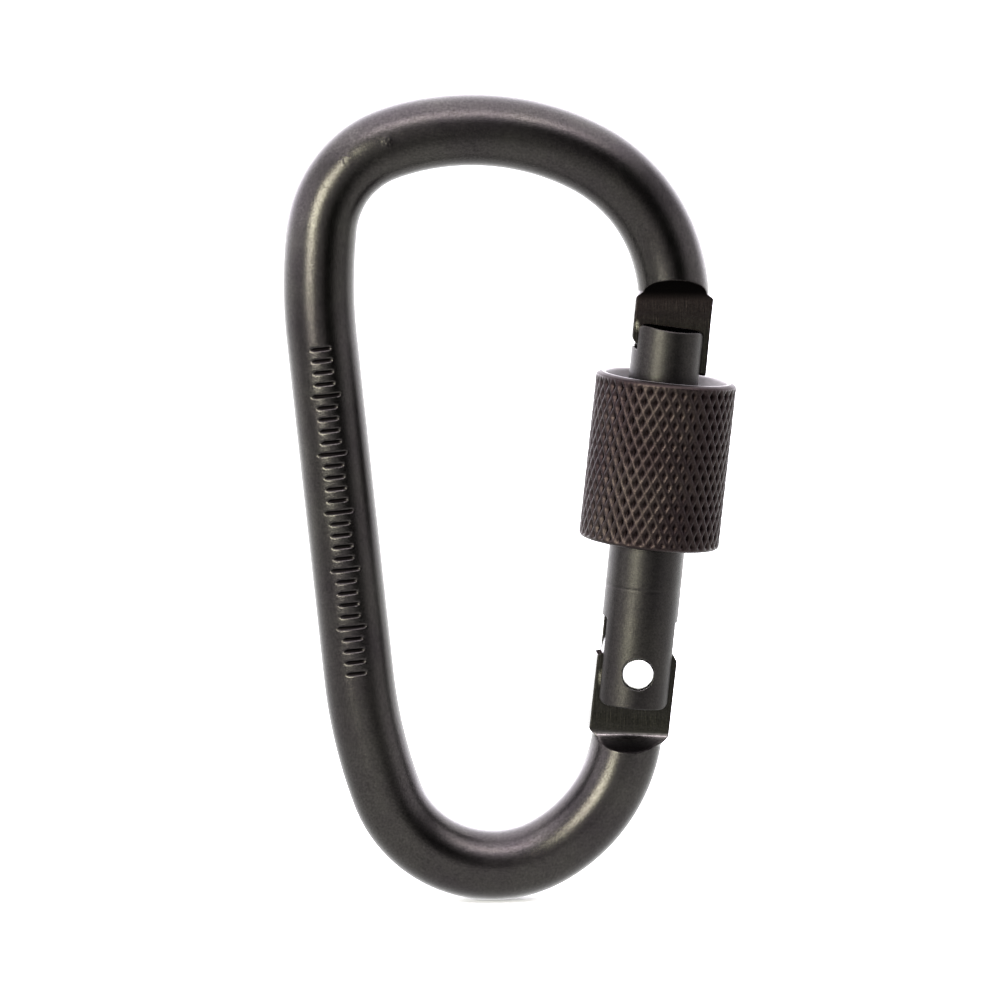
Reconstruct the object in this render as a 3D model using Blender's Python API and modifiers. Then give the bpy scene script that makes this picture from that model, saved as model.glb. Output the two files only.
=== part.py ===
"""Locking carabiner: a bent round-bar body, a hinged gate with a return spring
and cam follower, and a knurled locking sleeve that runs along the gate.

Metres, +Z up; the named sizes are millimetres and degrees. X runs across the
carabiner from the spine (-X) to the gate (+X), Y is its thickness, and the middle
of the bar lies in the plane Y = 0. The origin is the middle of the underside of
the bounding box.

The gate side is built in gate coordinates (across, y, up): up runs along the
gate's axis from the rivet, across runs away from the spine. Names ending in _UP
are heights on that axis.
"""

import math

import bmesh
import bpy
from mathutils import Matrix, Vector

MM = 0.001

# ---- dimensions shared by several pieces ---------------------------------------

PIVOT = (12.3457, 0.0, 23.0542)  # the rivet's centre
GATE_TILT = 6.3  # the gate line leans to +X going up
LEAN = math.radians(GATE_TILT)

TONGUE_HALF_WIDTH = 3.85  # a little wider than the bar the ends are pressed from
NOSE_BEVEL = ((-1.0, 30.08), (-TONGUE_HALF_WIDTH, 33.5))  # ends of the bevel, (across, up)
CAM_RADIUS = 3.6  # hinge end: cam radius at rest
RIVET_HOLE_DIAMETER = 3.2
CUT_REACH = 6.0  # how far slot and hole cutters reach past the gate line

# ---- scene ---------------------------------------------------------------------

for old in list(bpy.data.objects):
    bpy.data.objects.remove(old, do_unlink=True)

parts = bpy.data.collections.new("locking_carabiner")
cutters = bpy.data.collections.new("cutters")
bpy.context.scene.collection.children.link(parts)
bpy.context.scene.collection.children.link(cutters)

# stands a flat (x, y) outline up in the plane Y = 0
UPRIGHT = Matrix.Rotation(math.radians(90), 4, "X")
GATE_FRAME = Matrix.Translation(Vector(PIVOT) * MM) @ Matrix.Rotation(LEAN, 4, "Y")
RIVET_FRAME = GATE_FRAME @ UPRIGHT  # its Z lies along the rivet

# ---- materials -----------------------------------------------------------------


def metal(name, colour, roughness):
    made = bpy.data.materials.new(name)
    made.use_nodes = True
    shader = made.node_tree.nodes["Principled BSDF"]
    shader.inputs["Base Color"].default_value = (*colour, 1.0)
    shader.inputs["Roughness"].default_value = roughness
    shader.inputs["Metallic"].default_value = 1.0
    made.diffuse_color = (*colour, 1.0)
    return made


ANODISED = metal("charcoal_anodised", colour=(0.060, 0.054, 0.052), roughness=0.36)
GATE_METAL = metal("charcoal_gate", colour=(0.070, 0.062, 0.058), roughness=0.34)
SLEEVE_METAL = metal("sleeve_anodised", colour=(0.085, 0.068, 0.066), roughness=0.42)
BARE = metal("bare_rivet", colour=(0.78, 0.77, 0.75), roughness=0.28)
SPRING_STEEL = metal("spring_steel", colour=(0.46, 0.46, 0.47), roughness=0.30)
FOLLOWER_BRASS = metal("follower_brass", colour=(0.62, 0.46, 0.22), roughness=0.35)

# ---- objects and modifiers -----------------------------------------------------


def add(name, mesh, matrix, look):
    """An object in the carabiner's own collection."""
    obj = bpy.data.objects.new(name, mesh)
    parts.objects.link(obj)
    obj.matrix_world = matrix
    mesh.materials.append(look)
    return obj


def helper(name, mesh, matrix=GATE_FRAME):
    """An object that only cuts or joins another one."""
    obj = bpy.data.objects.new(name, mesh)
    cutters.objects.link(obj)
    obj.matrix_world = matrix
    obj.hide_render = True
    obj.display_type = "WIRE"
    return obj


def boolean(obj, other, operation):
    step = obj.modifiers.new(other.name, "BOOLEAN")
    step.operation = operation
    step.solver = "EXACT"
    step.object = other


def join(obj, other):
    boolean(obj, other, "UNION")


def cut(obj, other):
    boolean(obj, other, "DIFFERENCE")


def smooth(obj, angle):
    obj.data.shade_smooth()
    obj.data.set_sharp_from_angle(angle=math.radians(angle))


def attach(child, parent):
    """Parents child without moving it."""
    child.parent = parent
    child.matrix_parent_inverse = parent.matrix_world.inverted()


# ---- shapes --------------------------------------------------------------------


def mesh_from_work(name, work):
    """Turns a bmesh into a named mesh and frees it."""
    mesh = bpy.data.meshes.new(name)
    work.to_mesh(mesh)
    work.free()
    return mesh


def poly_curve(points, flat):
    """A closed flat outline, or an open capped line in space."""
    curve = bpy.data.curves.new("curve_in_work", "CURVE")
    curve.dimensions = "2D" if flat else "3D"
    spline = curve.splines.new("POLY")
    spline.points.add(len(points) - 1)
    for point, place in zip(spline.points, points):
        point.co = (*[value * MM for value in place], 1.0)
    spline.use_cyclic_u = flat
    curve.use_fill_caps = not flat
    if flat:
        curve.fill_mode = "BOTH"
    return curve


def mesh_of_curve(curve, matrix):
    """The closed mesh of a curve, its caps welded to its sides, moved by matrix."""
    temp = bpy.data.objects.new("curve_in_work", curve)
    bpy.context.scene.collection.objects.link(temp)
    bpy.context.view_layer.update()
    graph = bpy.context.evaluated_depsgraph_get()
    mesh = bpy.data.meshes.new_from_object(temp.evaluated_get(graph))
    bpy.data.objects.remove(temp, do_unlink=True)
    mesh.transform(matrix)
    work = bmesh.new()
    work.from_mesh(mesh)
    bmesh.ops.remove_doubles(work, verts=work.verts, dist=1e-7)
    bmesh.ops.recalc_face_normals(work, faces=work.faces)
    work.to_mesh(mesh)
    work.free()
    return mesh


def round_bar(points, diameter, resolution, matrix):
    """A round bar along points, with 4 + 2 * resolution sides."""
    curve = poly_curve(points, flat=False)
    curve.bevel_depth = diameter / 2 * MM
    curve.bevel_resolution = resolution
    return mesh_of_curve(curve, matrix)


def slab(outline, half, matrix):
    """A flat outline thickened by half to each side, then turned by matrix."""
    curve = poly_curve([(x, y, 0.0) for x, y in outline], flat=True)
    curve.extrude = half * MM
    return mesh_of_curve(curve, matrix)


def plate(name, outline, half):
    """A helper from an outline in (across, up), thickened along y."""
    return helper(name, slab(outline, half, UPRIGHT))


def prism_across(name, outline, half):
    """A helper from an outline in (y, up), thickened across the gate."""
    turn = Matrix.Rotation(math.radians(90), 4, "Z") @ UPRIGHT
    return helper(name, slab(outline, half, turn))


def cylinder(name, diameter, low, high, matrix, sides):
    """A helper along the Z of matrix."""
    work = bmesh.new()
    bmesh.ops.create_cone(
        work,
        cap_ends=True,
        segments=sides,
        radius1=diameter / 2 * MM,
        radius2=diameter / 2 * MM,
        depth=(high - low) * MM,
        matrix=Matrix.Translation((0, 0, (low + high) / 2 * MM)),
    )
    return helper(name, mesh_from_work(name, work), matrix)


def rivet_hole(name):
    return cylinder(name, RIVET_HOLE_DIAMETER, -CUT_REACH, CUT_REACH, RIVET_FRAME, sides=32)


def add_turned(name, profile, steps, matrix, look):
    """A solid turned about Z from a profile of (radius, height), listed from the top down."""
    mesh = bpy.data.meshes.new(name)
    edges = [(i, i + 1) for i in range(len(profile) - 1)]
    mesh.from_pydata([(radius * MM, 0.0, z * MM) for radius, z in profile], edges, [])
    obj = add(name, mesh, matrix, look)
    screw = obj.modifiers.new("turn", "SCREW")
    screw.axis = "Z"
    screw.angle = math.tau
    screw.steps = steps
    screw.render_steps = steps
    screw.use_merge_vertices = True
    screw.merge_threshold = 1e-6
    screw.use_smooth_shade = True
    return obj


# ---- the bar's centre line -----------------------------------------------------

BAR_DIAMETER = 7.0
BAR_RESOLUTION = 8
BEND_STEP = 6.5  # largest turn between two stations of the bar

# from the nose round to the hinge; bends are (radius, turn)
NOSE_START_UP = 34.7  # where the bend leaves the gate line
TOP_BENDS = [(16.18, 69.76), (24.52, 47.06), (9.63, 63.04), (49.2, 12.43)]
SPINE_LENGTH = 33.69
SPINE_PIECES = 4
SPINE_FOOT_BEND = (49.2, 14.19)
CORNER_TURN = 100.39  # its radius brings the bar back onto the gate line
HINGE_BEND_RADIUS = 15.54  # its turn completes the full circle
TRIAL_RADII = (8.0, 16.0)  # the corner radius is interpolated from these two

NOSE_STEP_UP, NOSE_FOLD_UP = 36.2, 37.25
HINGE_STEP_UP, HINGE_FOLD_UP = -4.35, -6.4
BAR_END_DROP = 0.55  # the bar ends this far below the hinge step


def gate_point(across, up):
    """World (x, z) of a point in gate coordinates."""
    return (
        PIVOT[0] + across * math.cos(LEAN) + up * math.sin(LEAN),
        PIVOT[2] - across * math.sin(LEAN) + up * math.cos(LEAN),
    )


def off_gate_line(point):
    """How far a world (x, z) lies across from the gate line."""
    x, z = point
    return (x - PIVOT[0]) * math.cos(LEAN) - (z - PIVOT[2]) * math.sin(LEAN)


def advance(points, distance, heading):
    x, z = points[-1]
    points.append((x + distance * math.cos(heading), z + distance * math.sin(heading)))


def follow_bends(points, bends, heading):
    """Adds the stations of the bends and returns the new heading, in radians."""
    for radius, turn in bends:
        steps = max(2, math.ceil(turn / BEND_STEP))
        step = math.radians(turn) / steps
        chord = 2 * radius * math.sin(step / 2)
        for _ in range(steps):
            advance(points, chord, heading + step / 2)
            heading += step
    return heading


def trace_bar(corner_radius):
    """World (x, z) of the stations from the nose to the end of the last bend."""
    known_turns = sum(turn for _, turn in TOP_BENDS) + SPINE_FOOT_BEND[1] + CORNER_TURN
    bottom_bends = [
        SPINE_FOOT_BEND,
        (corner_radius, CORNER_TURN),
        (HINGE_BEND_RADIUS, 360.0 - known_turns),
    ]
    points = [gate_point(0.0, NOSE_START_UP)]
    heading = follow_bends(points, TOP_BENDS, math.radians(90.0 - GATE_TILT))
    for _ in range(SPINE_PIECES):
        advance(points, SPINE_LENGTH / SPINE_PIECES, heading)
    follow_bends(points, bottom_bends, heading)
    return points


def bar_path():
    """The whole centre line; its last bend ends on the gate line."""
    small, large = TRIAL_RADII
    off_small, off_large = (off_gate_line(trace_bar(radius)[-1]) for radius in TRIAL_RADII)
    corner_radius = small + (large - small) * off_small / (off_small - off_large)
    return [*trace_bar(corner_radius), gate_point(0.0, HINGE_STEP_UP - BAR_END_DROP)]


# ---- body ----------------------------------------------------------------------

JOIN_HALF = 1.9  # half thickness of the end plates before the flats are cut
TONGUE_HALF = 1.33  # half thickness inside the gate's slots
ROOT_HALF = 1.42  # half thickness of the short flat next to the shoulder
SHOULDER_RUN = 1.6  # length of the hollow shoulder, from the fold to the round bar
SHOULDER_PARTS = (0.0, 0.3, 0.55, 0.78, 1.0, 1.35)  # stations as parts of that length
NOSE_CUT_UP, HINGE_CUT_UP = 20.0, 12.0  # inner ends of the flats cutters
FLATS_CUT_HALF = 9.0  # half length of the flats cutters across the gate
FLATS_CUT_OUT = 2.5  # how far they reach outside the bar

NOSE_END_RADIUS = 30.1  # the nose ends on a circle about the rivet, clear of the sleeve
NOSE_END_STEPS = 4
# the parts of the end plates buried in the bar: (across, above the fold)
NOSE_ROOT = (
    (-TONGUE_HALF_WIDTH, -0.3), (-2.9, 0.9),
    (2.2, 0.9), (TONGUE_HALF_WIDTH, -0.6),
)
HINGE_ROOT = (
    (-TONGUE_HALF_WIDTH, 0.5), (-3.0, -0.6),
    (3.0, -0.6), (TONGUE_HALF_WIDTH, -0.1),
)

# cam angles run from the gate line towards the spine
CAM_START, CAM_END = -62, 49.0  # at CAM_END the edge drops to the square corner
CAM_STEPS = 24
CAM_RISE = 0.9  # mm of radius per radian
CAM_SPAN = 40.0  # the rise stops here
CAM_BACK_START, CAM_BACK_SPAN = 30, 34  # the swelling on the side away from the spine
CAM_BACK_RISE = 0.4
CORNER_UP = 1.3
CORNER_CHAMFER = (0.55, 0.15)  # (across, up)
HINGE_SIDE_UP = 1.2  # top of the straight edge away from the spine


def about_rivet(radius, angle):
    """(across, up) on a circle about the rivet, angle from the gate line to the spine."""
    turn = math.radians(angle)
    return (-radius * math.sin(turn), radius * math.cos(turn))


def raised(points, base):
    return [(across, base + up) for across, up in points]


def nose_outline():
    """The pressed nose: bevelled towards the spine, its end clear of the sleeve's swing."""
    first = -math.degrees(math.asin(TONGUE_HALF_WIDTH / NOSE_END_RADIUS))
    last = -math.degrees(math.asin(NOSE_BEVEL[0][0] / NOSE_END_RADIUS))
    end = [
        about_rivet(NOSE_END_RADIUS, first + (last - first) * i / NOSE_END_STEPS)
        for i in range(NOSE_END_STEPS + 1)
    ]
    return [*end, NOSE_BEVEL[1], *raised(NOSE_ROOT, NOSE_FOLD_UP)]


def cam_radius(angle):
    if angle <= 0:
        swell = max(0.0, (-angle - CAM_BACK_START) / CAM_BACK_SPAN)
        return CAM_RADIUS + CAM_BACK_RISE * swell ** 2
    return CAM_RADIUS + CAM_RISE * math.radians(min(angle, CAM_SPAN))


def hinge_outline():
    """The pressed hinge end: a cam on its top edge pushes the follower as the gate opens.

    Beyond the cam, towards the spine, the edge drops to a square corner.
    """
    angles = [CAM_START + (CAM_END - CAM_START) * i / CAM_STEPS for i in range(CAM_STEPS + 1)]
    chamfer_across, chamfer_up = CORNER_CHAMFER
    return [
        *[about_rivet(cam_radius(angle), angle) for angle in angles],
        (-TONGUE_HALF_WIDTH + chamfer_across, CORNER_UP + chamfer_up),
        (-TONGUE_HALF_WIDTH, CORNER_UP),
        *raised(HINGE_ROOT, HINGE_FOLD_UP),
        (TONGUE_HALF_WIDTH, HINGE_SIDE_UP),
    ]


def flats_cutter(name, inner_up, step_up, fold_up, side):
    """Clears one side of a pressed end, back to the hollow shoulder.

    side is -1 for the front (-Y) and 1 for the back (+Y).
    """
    way = math.copysign(1, fold_up)
    rise = BAR_DIAMETER / 2 - ROOT_HALF
    # the shoulder's height grows with the square of the way from the fold
    shoulder = [
        (side * (ROOT_HALF + rise * part * part), fold_up + way * SHOULDER_RUN * part)
        for part in SHOULDER_PARTS
    ]
    outside = side * (ROOT_HALF + rise + FLATS_CUT_OUT)
    outline = [
        (side * TONGUE_HALF, inner_up),
        (side * TONGUE_HALF, step_up),
        (side * ROOT_HALF, step_up),
        *shoulder,
        (outside, shoulder[-1][1]),
        (outside, inner_up),
    ]
    return prism_across(name, outline, FLATS_CUT_HALF)


def build_body():
    path = [(x, z, 0.0) for x, z in bar_path()]
    bar = round_bar(path, BAR_DIAMETER, BAR_RESOLUTION, UPRIGHT)
    body = add("carabiner_body", bar, Matrix.Identity(4), ANODISED)
    join(body, plate("join_nose", nose_outline(), JOIN_HALF))
    join(body, plate("join_hinge", hinge_outline(), JOIN_HALF))
    ends = (
        ("nose", NOSE_CUT_UP, NOSE_STEP_UP, NOSE_FOLD_UP),
        ("hinge", HINGE_CUT_UP, HINGE_STEP_UP, HINGE_FOLD_UP),
    )
    for label, side in (("front", -1), ("back", 1)):
        for end, inner_up, step_up, fold_up in ends:
            cut(body, flats_cutter(f"cut_{end}_{label}", inner_up, step_up, fold_up, side))
    cut(body, rivet_hole("cut_hinge_hole"))
    smooth(body, 30)
    return body


# ---- gate ----------------------------------------------------------------------

GATE_LOW_UP, GATE_HIGH_UP = -3.5, 34.2
GATE_LOW_RADIUS, GATE_HIGH_RADIUS = 7.5 / 2, 7.1 / 2
GATE_COLLAR_UP = 12.4  # where the thicker lower part begins to narrow
GATE_COLLAR_RUN = 0.2
GATE_STEPS = 40
GATE_TOP_EDGE = ((0.45, 0.0), (0.12, 0.12), (0.0, 0.45))  # (inset, below the top)
GATE_FOOT_EDGE = ((0.0, 0.9), (0.25, 0.3), (0.9, 0.0))  # (inset, above the foot)
GATE_GROOVE = ((0.0, 8.45), (0.07, 8.35), (0.07, 8.2), (0.0, 8.1))  # (depth, up)

THREAD_DIAMETER, THREAD_PITCH = 7.9, 1.5
THREAD_UP = (13.4, 26.8)
THREAD_STEPS = 20  # per turn
THREAD_SUNK = 0.15  # how deep the root lies inside the gate
THREAD_ROOT_HALF, THREAD_CREST_HALF = 0.55, 0.14  # half widths of the ridge
THREAD_END_SCALE = 0.25  # part of the ridge's height left at its ends

SLOT_HALF = 1.5
SLOT_GAP = 0.3  # between the nose bevel and the slot's floor
HINGE_SLOT_UP, NOSE_SLOT_UP = 5.1, 28.5
HINGE_CUT_BELOW = 2  # the slot cutter starts this far below the gate
NOSE_CUT_LENGTH = 9.0  # length of the slot cutter along the bevel
BORE_DIAMETER, BORE_UP = 2.8, 14.2
BORE_OVERLAP = 1.5  # the bore's cutter starts this far inside the hinge slot


def gate_profile():
    return [
        (0.0, GATE_HIGH_UP),
        *[(GATE_HIGH_RADIUS - inset, GATE_HIGH_UP - drop) for inset, drop in GATE_TOP_EDGE],
        (GATE_HIGH_RADIUS, GATE_COLLAR_UP + GATE_COLLAR_RUN),
        (GATE_LOW_RADIUS, GATE_COLLAR_UP),
        *[(GATE_LOW_RADIUS - depth, up) for depth, up in GATE_GROOVE],
        *[(GATE_LOW_RADIUS - inset, GATE_LOW_UP + rise) for inset, rise in GATE_FOOT_EDGE],
        (0.0, GATE_LOW_UP),
    ]


def thread_ridge():
    """A helical ridge whose root is sunk into the gate."""
    root, crest = GATE_HIGH_RADIUS - THREAD_SUNK, THREAD_DIAMETER / 2
    section = [
        (root, -THREAD_ROOT_HALF),
        (crest, -THREAD_CREST_HALF),
        (crest, THREAD_CREST_HALF),
        (root, THREAD_ROOT_HALF),
    ]
    low, high = THREAD_UP
    steps = round((high - low) / THREAD_PITCH * THREAD_STEPS)
    work = bmesh.new()
    rings = []
    last_edges = []
    for i in range(steps + 1):
        turn = math.tau * i / THREAD_STEPS
        up = low + THREAD_PITCH * i / THREAD_STEPS
        # the ridge runs down over half a turn at each end
        fade = min(1.0, min(i, steps - i) / (THREAD_STEPS / 2))
        scale = THREAD_END_SCALE + (1 - THREAD_END_SCALE) * fade
        ring = []
        for reach, offset in section:
            radius = root + (reach - root) * scale
            place = (radius * math.cos(turn), radius * math.sin(turn), up + offset)
            ring.append(work.verts.new([value * MM for value in place]))
        edges = [work.edges.new((ring[k], ring[(k + 1) % 4])) for k in range(4)]
        if last_edges:
            bmesh.ops.bridge_loops(work, edges=last_edges + edges)
        rings.append(ring)
        last_edges = edges
    for ring in (rings[0], rings[-1]):
        work.faces.new(ring)
    bmesh.ops.recalc_face_normals(work, faces=work.faces)
    return mesh_from_work("gate_thread", work)


def nose_slot_outline():
    """Open upwards and away from the spine; its floor follows the nose bevel."""
    start, end = (Vector(point) for point in NOSE_BEVEL)
    bevel = (end - start).normalized()
    start += Vector((-bevel.y, bevel.x)) * SLOT_GAP  # towards the gate's own material
    foot = start - bevel * ((start.y - NOSE_SLOT_UP) / bevel.y)
    top = start + bevel * NOSE_CUT_LENGTH
    return [
        (CUT_REACH, NOSE_SLOT_UP),
        (CUT_REACH, top.y),
        (top.x, top.y),
        (foot.x, NOSE_SLOT_UP),
    ]


def hinge_slot_outline():
    low = GATE_LOW_UP - HINGE_CUT_BELOW
    return [
        (-CUT_REACH, low),
        (CUT_REACH, low),
        (CUT_REACH, HINGE_SLOT_UP),
        (-CUT_REACH, HINGE_SLOT_UP),
    ]


def build_gate():
    gate = add_turned("gate", gate_profile(), GATE_STEPS, GATE_FRAME, GATE_METAL)
    join(gate, helper("join_thread", thread_ridge()))
    cut(gate, plate("cut_nose_slot", nose_slot_outline(), SLOT_HALF))
    cut(gate, plate("cut_hinge_slot", hinge_slot_outline(), SLOT_HALF))
    bore_low = HINGE_SLOT_UP - BORE_OVERLAP
    cut(gate, cylinder("cut_spring_bore", BORE_DIAMETER, bore_low, BORE_UP, GATE_FRAME, sides=24))
    cut(gate, rivet_hole("cut_gate_hole"))
    return gate


# ---- locking sleeve ------------------------------------------------------------

SLEEVE_LOW_UP, SLEEVE_HIGH_UP = 12.7, 29.2
SLEEVE_RADIUS = 13.9 / 2
SLEEVE_BORE_RADIUS = 8.4 / 2
BORE_CHAMFER = 0.3
MOUTH_RADIUS, MOUTH_DEEP_RADIUS = 12.1 / 2, 10.8 / 2  # the hollow at the top, narrowing down
MOUTH_DEPTH = 4.2
MOUTH_FLOOR_RUN = 0.8  # height of the cone from the mouth to the bore
RIM_CHAMFER = 0.6
LOW_RIM_INSET = RIM_CHAMFER + 0.1

KNURL_COLUMNS = 2 * 40  # two for each diamond around the sleeve
KNURL_TALL = 2.0  # nominal height of a diamond
KNURL_DEPTH = 0.24  # depth of the pits between the crossing ridges
KNURL_HIGH_UP, KNURL_LOW_UP = SLEEVE_HIGH_UP - RIM_CHAMFER, SLEEVE_LOW_UP + RIM_CHAMFER
KNURL_ROWS = int((KNURL_HIGH_UP - KNURL_LOW_UP) / (KNURL_TALL / 2))
KNURL_PITCH = (KNURL_HIGH_UP - KNURL_LOW_UP) / KNURL_ROWS


def sleeve_profile():
    """A closed loop of (radius, up): down the outside and back up the bore."""
    return [
        (MOUTH_RADIUS, SLEEVE_HIGH_UP),
        (SLEEVE_RADIUS - RIM_CHAMFER, SLEEVE_HIGH_UP),
        *[(SLEEVE_RADIUS, KNURL_HIGH_UP - KNURL_PITCH * i) for i in range(KNURL_ROWS + 1)],
        (SLEEVE_RADIUS - LOW_RIM_INSET, SLEEVE_LOW_UP),
        (SLEEVE_BORE_RADIUS + BORE_CHAMFER, SLEEVE_LOW_UP),
        (SLEEVE_BORE_RADIUS, SLEEVE_LOW_UP + BORE_CHAMFER),
        (SLEEVE_BORE_RADIUS, SLEEVE_HIGH_UP - MOUTH_DEPTH - MOUTH_FLOOR_RUN),
        (MOUTH_DEEP_RADIUS, SLEEVE_HIGH_UP - MOUTH_DEPTH),
    ]


def is_pit(vert):
    """Every other vertex of the outer band, leaving out its top and bottom rows."""
    x, y, z = vert.co / MM
    if abs(math.hypot(x, y) - SLEEVE_RADIUS) > 1e-3:
        return False
    row = round((KNURL_HIGH_UP - z) / KNURL_PITCH)
    column = round(math.atan2(y, x) / math.tau * KNURL_COLUMNS)
    return 0 < row < KNURL_ROWS and (row + column) % 2 == 0


def press_knurl(work):
    """Leaves a net of crossing ridges with a pointed pit in each diamond."""
    pits = {vert for vert in work.verts if is_pit(vert)}
    for vert in pits:
        vert.co.x *= (SLEEVE_RADIUS - KNURL_DEPTH) / SLEEVE_RADIUS
        vert.co.y *= (SLEEVE_RADIUS - KNURL_DEPTH) / SLEEVE_RADIUS
    # each face is split between the two high corners beside a pit: the ridges stay straight
    for face in list(work.faces):
        corners = list(face.verts)
        pit = next((i for i, vert in enumerate(corners) if vert in pits), None)
        if pit is not None:
            bmesh.utils.face_split(face, corners[pit - 1], corners[(pit + 1) % 4])


def build_sleeve():
    work = bmesh.new()
    verts = [work.verts.new((radius * MM, 0, up * MM)) for radius, up in sleeve_profile()]
    edges = [work.edges.new((verts[i - 1], verts[i])) for i in range(1, len(verts))]
    edges.append(work.edges.new((verts[-1], verts[0])))
    bmesh.ops.spin(
        work, geom=verts + edges, cent=(0, 0, 0), axis=(0, 0, 1),
        angle=math.tau, steps=KNURL_COLUMNS, use_merge=True,
    )
    bmesh.ops.remove_doubles(work, verts=work.verts, dist=1e-7)
    press_knurl(work)
    bmesh.ops.recalc_face_normals(work, faces=work.faces)
    mesh = mesh_from_work("locking_sleeve", work)
    return add("locking_sleeve", mesh, GATE_FRAME, SLEEVE_METAL)


# ---- rivet ---------------------------------------------------------------------

RIVET_RADIUS = 3.0 / 2
RIVET_FACE_RADIUS = 1.9 / 2
RIVET_OUT = 3.88  # half length over the peened heads
RIVET_DOME = ((0.12, 0.16), (0.0, 0.4))  # (inset, back from the face)


def build_rivet():
    head = [
        (0.0, RIVET_OUT),
        (RIVET_FACE_RADIUS, RIVET_OUT),
        *[(RIVET_RADIUS - inset, RIVET_OUT - back) for inset, back in RIVET_DOME],
    ]
    profile = head + [(radius, -z) for radius, z in reversed(head)]
    return add_turned("hinge_rivet", profile, 32, RIVET_FRAME, BARE)


# ---- follower ------------------------------------------------------------------

FOLLOWER_GAP = 0.25  # between the cam at rest and the tip
TIP_RADIUS, HEAD_RADIUS, STEM_RADIUS = 1.5 / 2, 2.4 / 2, 1.1 / 2
TIP_UP = CAM_RADIUS + FOLLOWER_GAP
TIP_EDGE = ((0.0, 0.55), (0.3, 0.12))  # (inset, above the tip)
HEAD_LOW_UP, HEAD_HIGH_UP = 6.5, 7.4
HEAD_CHAMFER = 0.1
NECK_DROP = 0.15  # height of the cone under the head
STEM_TOP_UP = 9.4
STEM_CHAMFER = (0.15, 0.2)  # (inset, drop)


def build_follower():
    stem_inset, stem_drop = STEM_CHAMFER
    profile = [
        (0.0, STEM_TOP_UP),
        (STEM_RADIUS - stem_inset, STEM_TOP_UP),
        (STEM_RADIUS, STEM_TOP_UP - stem_drop),
        (STEM_RADIUS, HEAD_HIGH_UP),
        (HEAD_RADIUS - HEAD_CHAMFER, HEAD_HIGH_UP),
        (HEAD_RADIUS, HEAD_HIGH_UP - HEAD_CHAMFER),
        (HEAD_RADIUS, HEAD_LOW_UP + HEAD_CHAMFER),
        (HEAD_RADIUS - HEAD_CHAMFER, HEAD_LOW_UP),
        (TIP_RADIUS, HEAD_LOW_UP - NECK_DROP),
        *[(TIP_RADIUS - inset, TIP_UP + rise) for inset, rise in TIP_EDGE],
        (0.0, TIP_UP),
    ]
    return add_turned("cam_follower", profile, 20, GATE_FRAME, FOLLOWER_BRASS)


# ---- spring --------------------------------------------------------------------

WIRE_DIAMETER = 0.36
WIRE_RESOLUTION = 2
COIL_RADIUS = 2.1 / 2  # to the middle of the wire
COIL_TURNS = 7
COIL_STEPS = 14  # per turn
SPRING_UP = (7.75, 13.95)
DEAD_TURNS = 0.9  # close turns at each end
DEAD_PITCH = 1.08 * WIRE_DIAMETER


def coil_points():
    """A compression spring: close dead turns at each end, even pitch between."""
    count = COIL_TURNS * COIL_STEPS
    dead = [min(i, count - i) < DEAD_TURNS * COIL_STEPS for i in range(count)]
    dead_rise = DEAD_PITCH / COIL_STEPS
    travel = SPRING_UP[1] - SPRING_UP[0] - WIRE_DIAMETER
    open_rise = (travel - sum(dead) * dead_rise) / (count - sum(dead))
    heights = [SPRING_UP[0] + WIRE_DIAMETER / 2]
    for is_dead in dead:
        heights.append(heights[-1] + (dead_rise if is_dead else open_rise))
    points = []
    for i, height in enumerate(heights):
        turn = math.tau * i / COIL_STEPS
        points.append((COIL_RADIUS * math.cos(turn), COIL_RADIUS * math.sin(turn), height))
    return points


def build_spring():
    coil = round_bar(coil_points(), WIRE_DIAMETER, WIRE_RESOLUTION, Matrix.Identity(4))
    spring = add("return_spring", coil, GATE_FRAME, SPRING_STEEL)
    smooth(spring, 60)
    return spring


# ---- assembly: what moves with what --------------------------------------------

body = build_body()
gate = build_gate()
for child in (build_sleeve(), build_follower(), build_spring()):
    attach(child, gate)
attach(build_rivet(), body)
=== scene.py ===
# A locking carabiner: a bent bar with two flattened ends, a gate between them, a knurled
# locking sleeve on the gate, and at the hinge a rivet, a brass follower and its spring.
# It stands upright with its front towards -Y, the spine at -X and the gate at +X.
# Sizes are in millimetres, and become metres as each mesh is made.
# Places near the gate are (side, y, up) about the rivet: side points away from the spine,
# and up runs along the gate from hinge to nose, leaning TILT from Z towards +X.

import math
from types import SimpleNamespace

import bmesh
import bpy
import numpy as np
import openvdb
from mathutils import Matrix, Vector


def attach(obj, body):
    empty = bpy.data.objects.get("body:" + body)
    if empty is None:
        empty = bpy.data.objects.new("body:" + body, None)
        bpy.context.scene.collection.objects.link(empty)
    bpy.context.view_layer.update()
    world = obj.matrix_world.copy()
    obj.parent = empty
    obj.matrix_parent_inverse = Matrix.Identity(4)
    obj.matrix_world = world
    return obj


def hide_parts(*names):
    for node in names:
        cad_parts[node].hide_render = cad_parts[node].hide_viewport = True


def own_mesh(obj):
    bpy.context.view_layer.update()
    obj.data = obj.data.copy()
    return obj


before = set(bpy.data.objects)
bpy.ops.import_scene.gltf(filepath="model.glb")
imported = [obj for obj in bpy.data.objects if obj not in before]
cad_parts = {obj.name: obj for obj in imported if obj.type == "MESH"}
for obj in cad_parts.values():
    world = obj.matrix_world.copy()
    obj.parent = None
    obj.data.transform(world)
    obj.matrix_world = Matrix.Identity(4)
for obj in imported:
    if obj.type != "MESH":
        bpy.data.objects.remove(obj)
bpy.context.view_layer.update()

MM = 0.001

# ---- sizes shared between pieces ---------------------------------------------------

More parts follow.
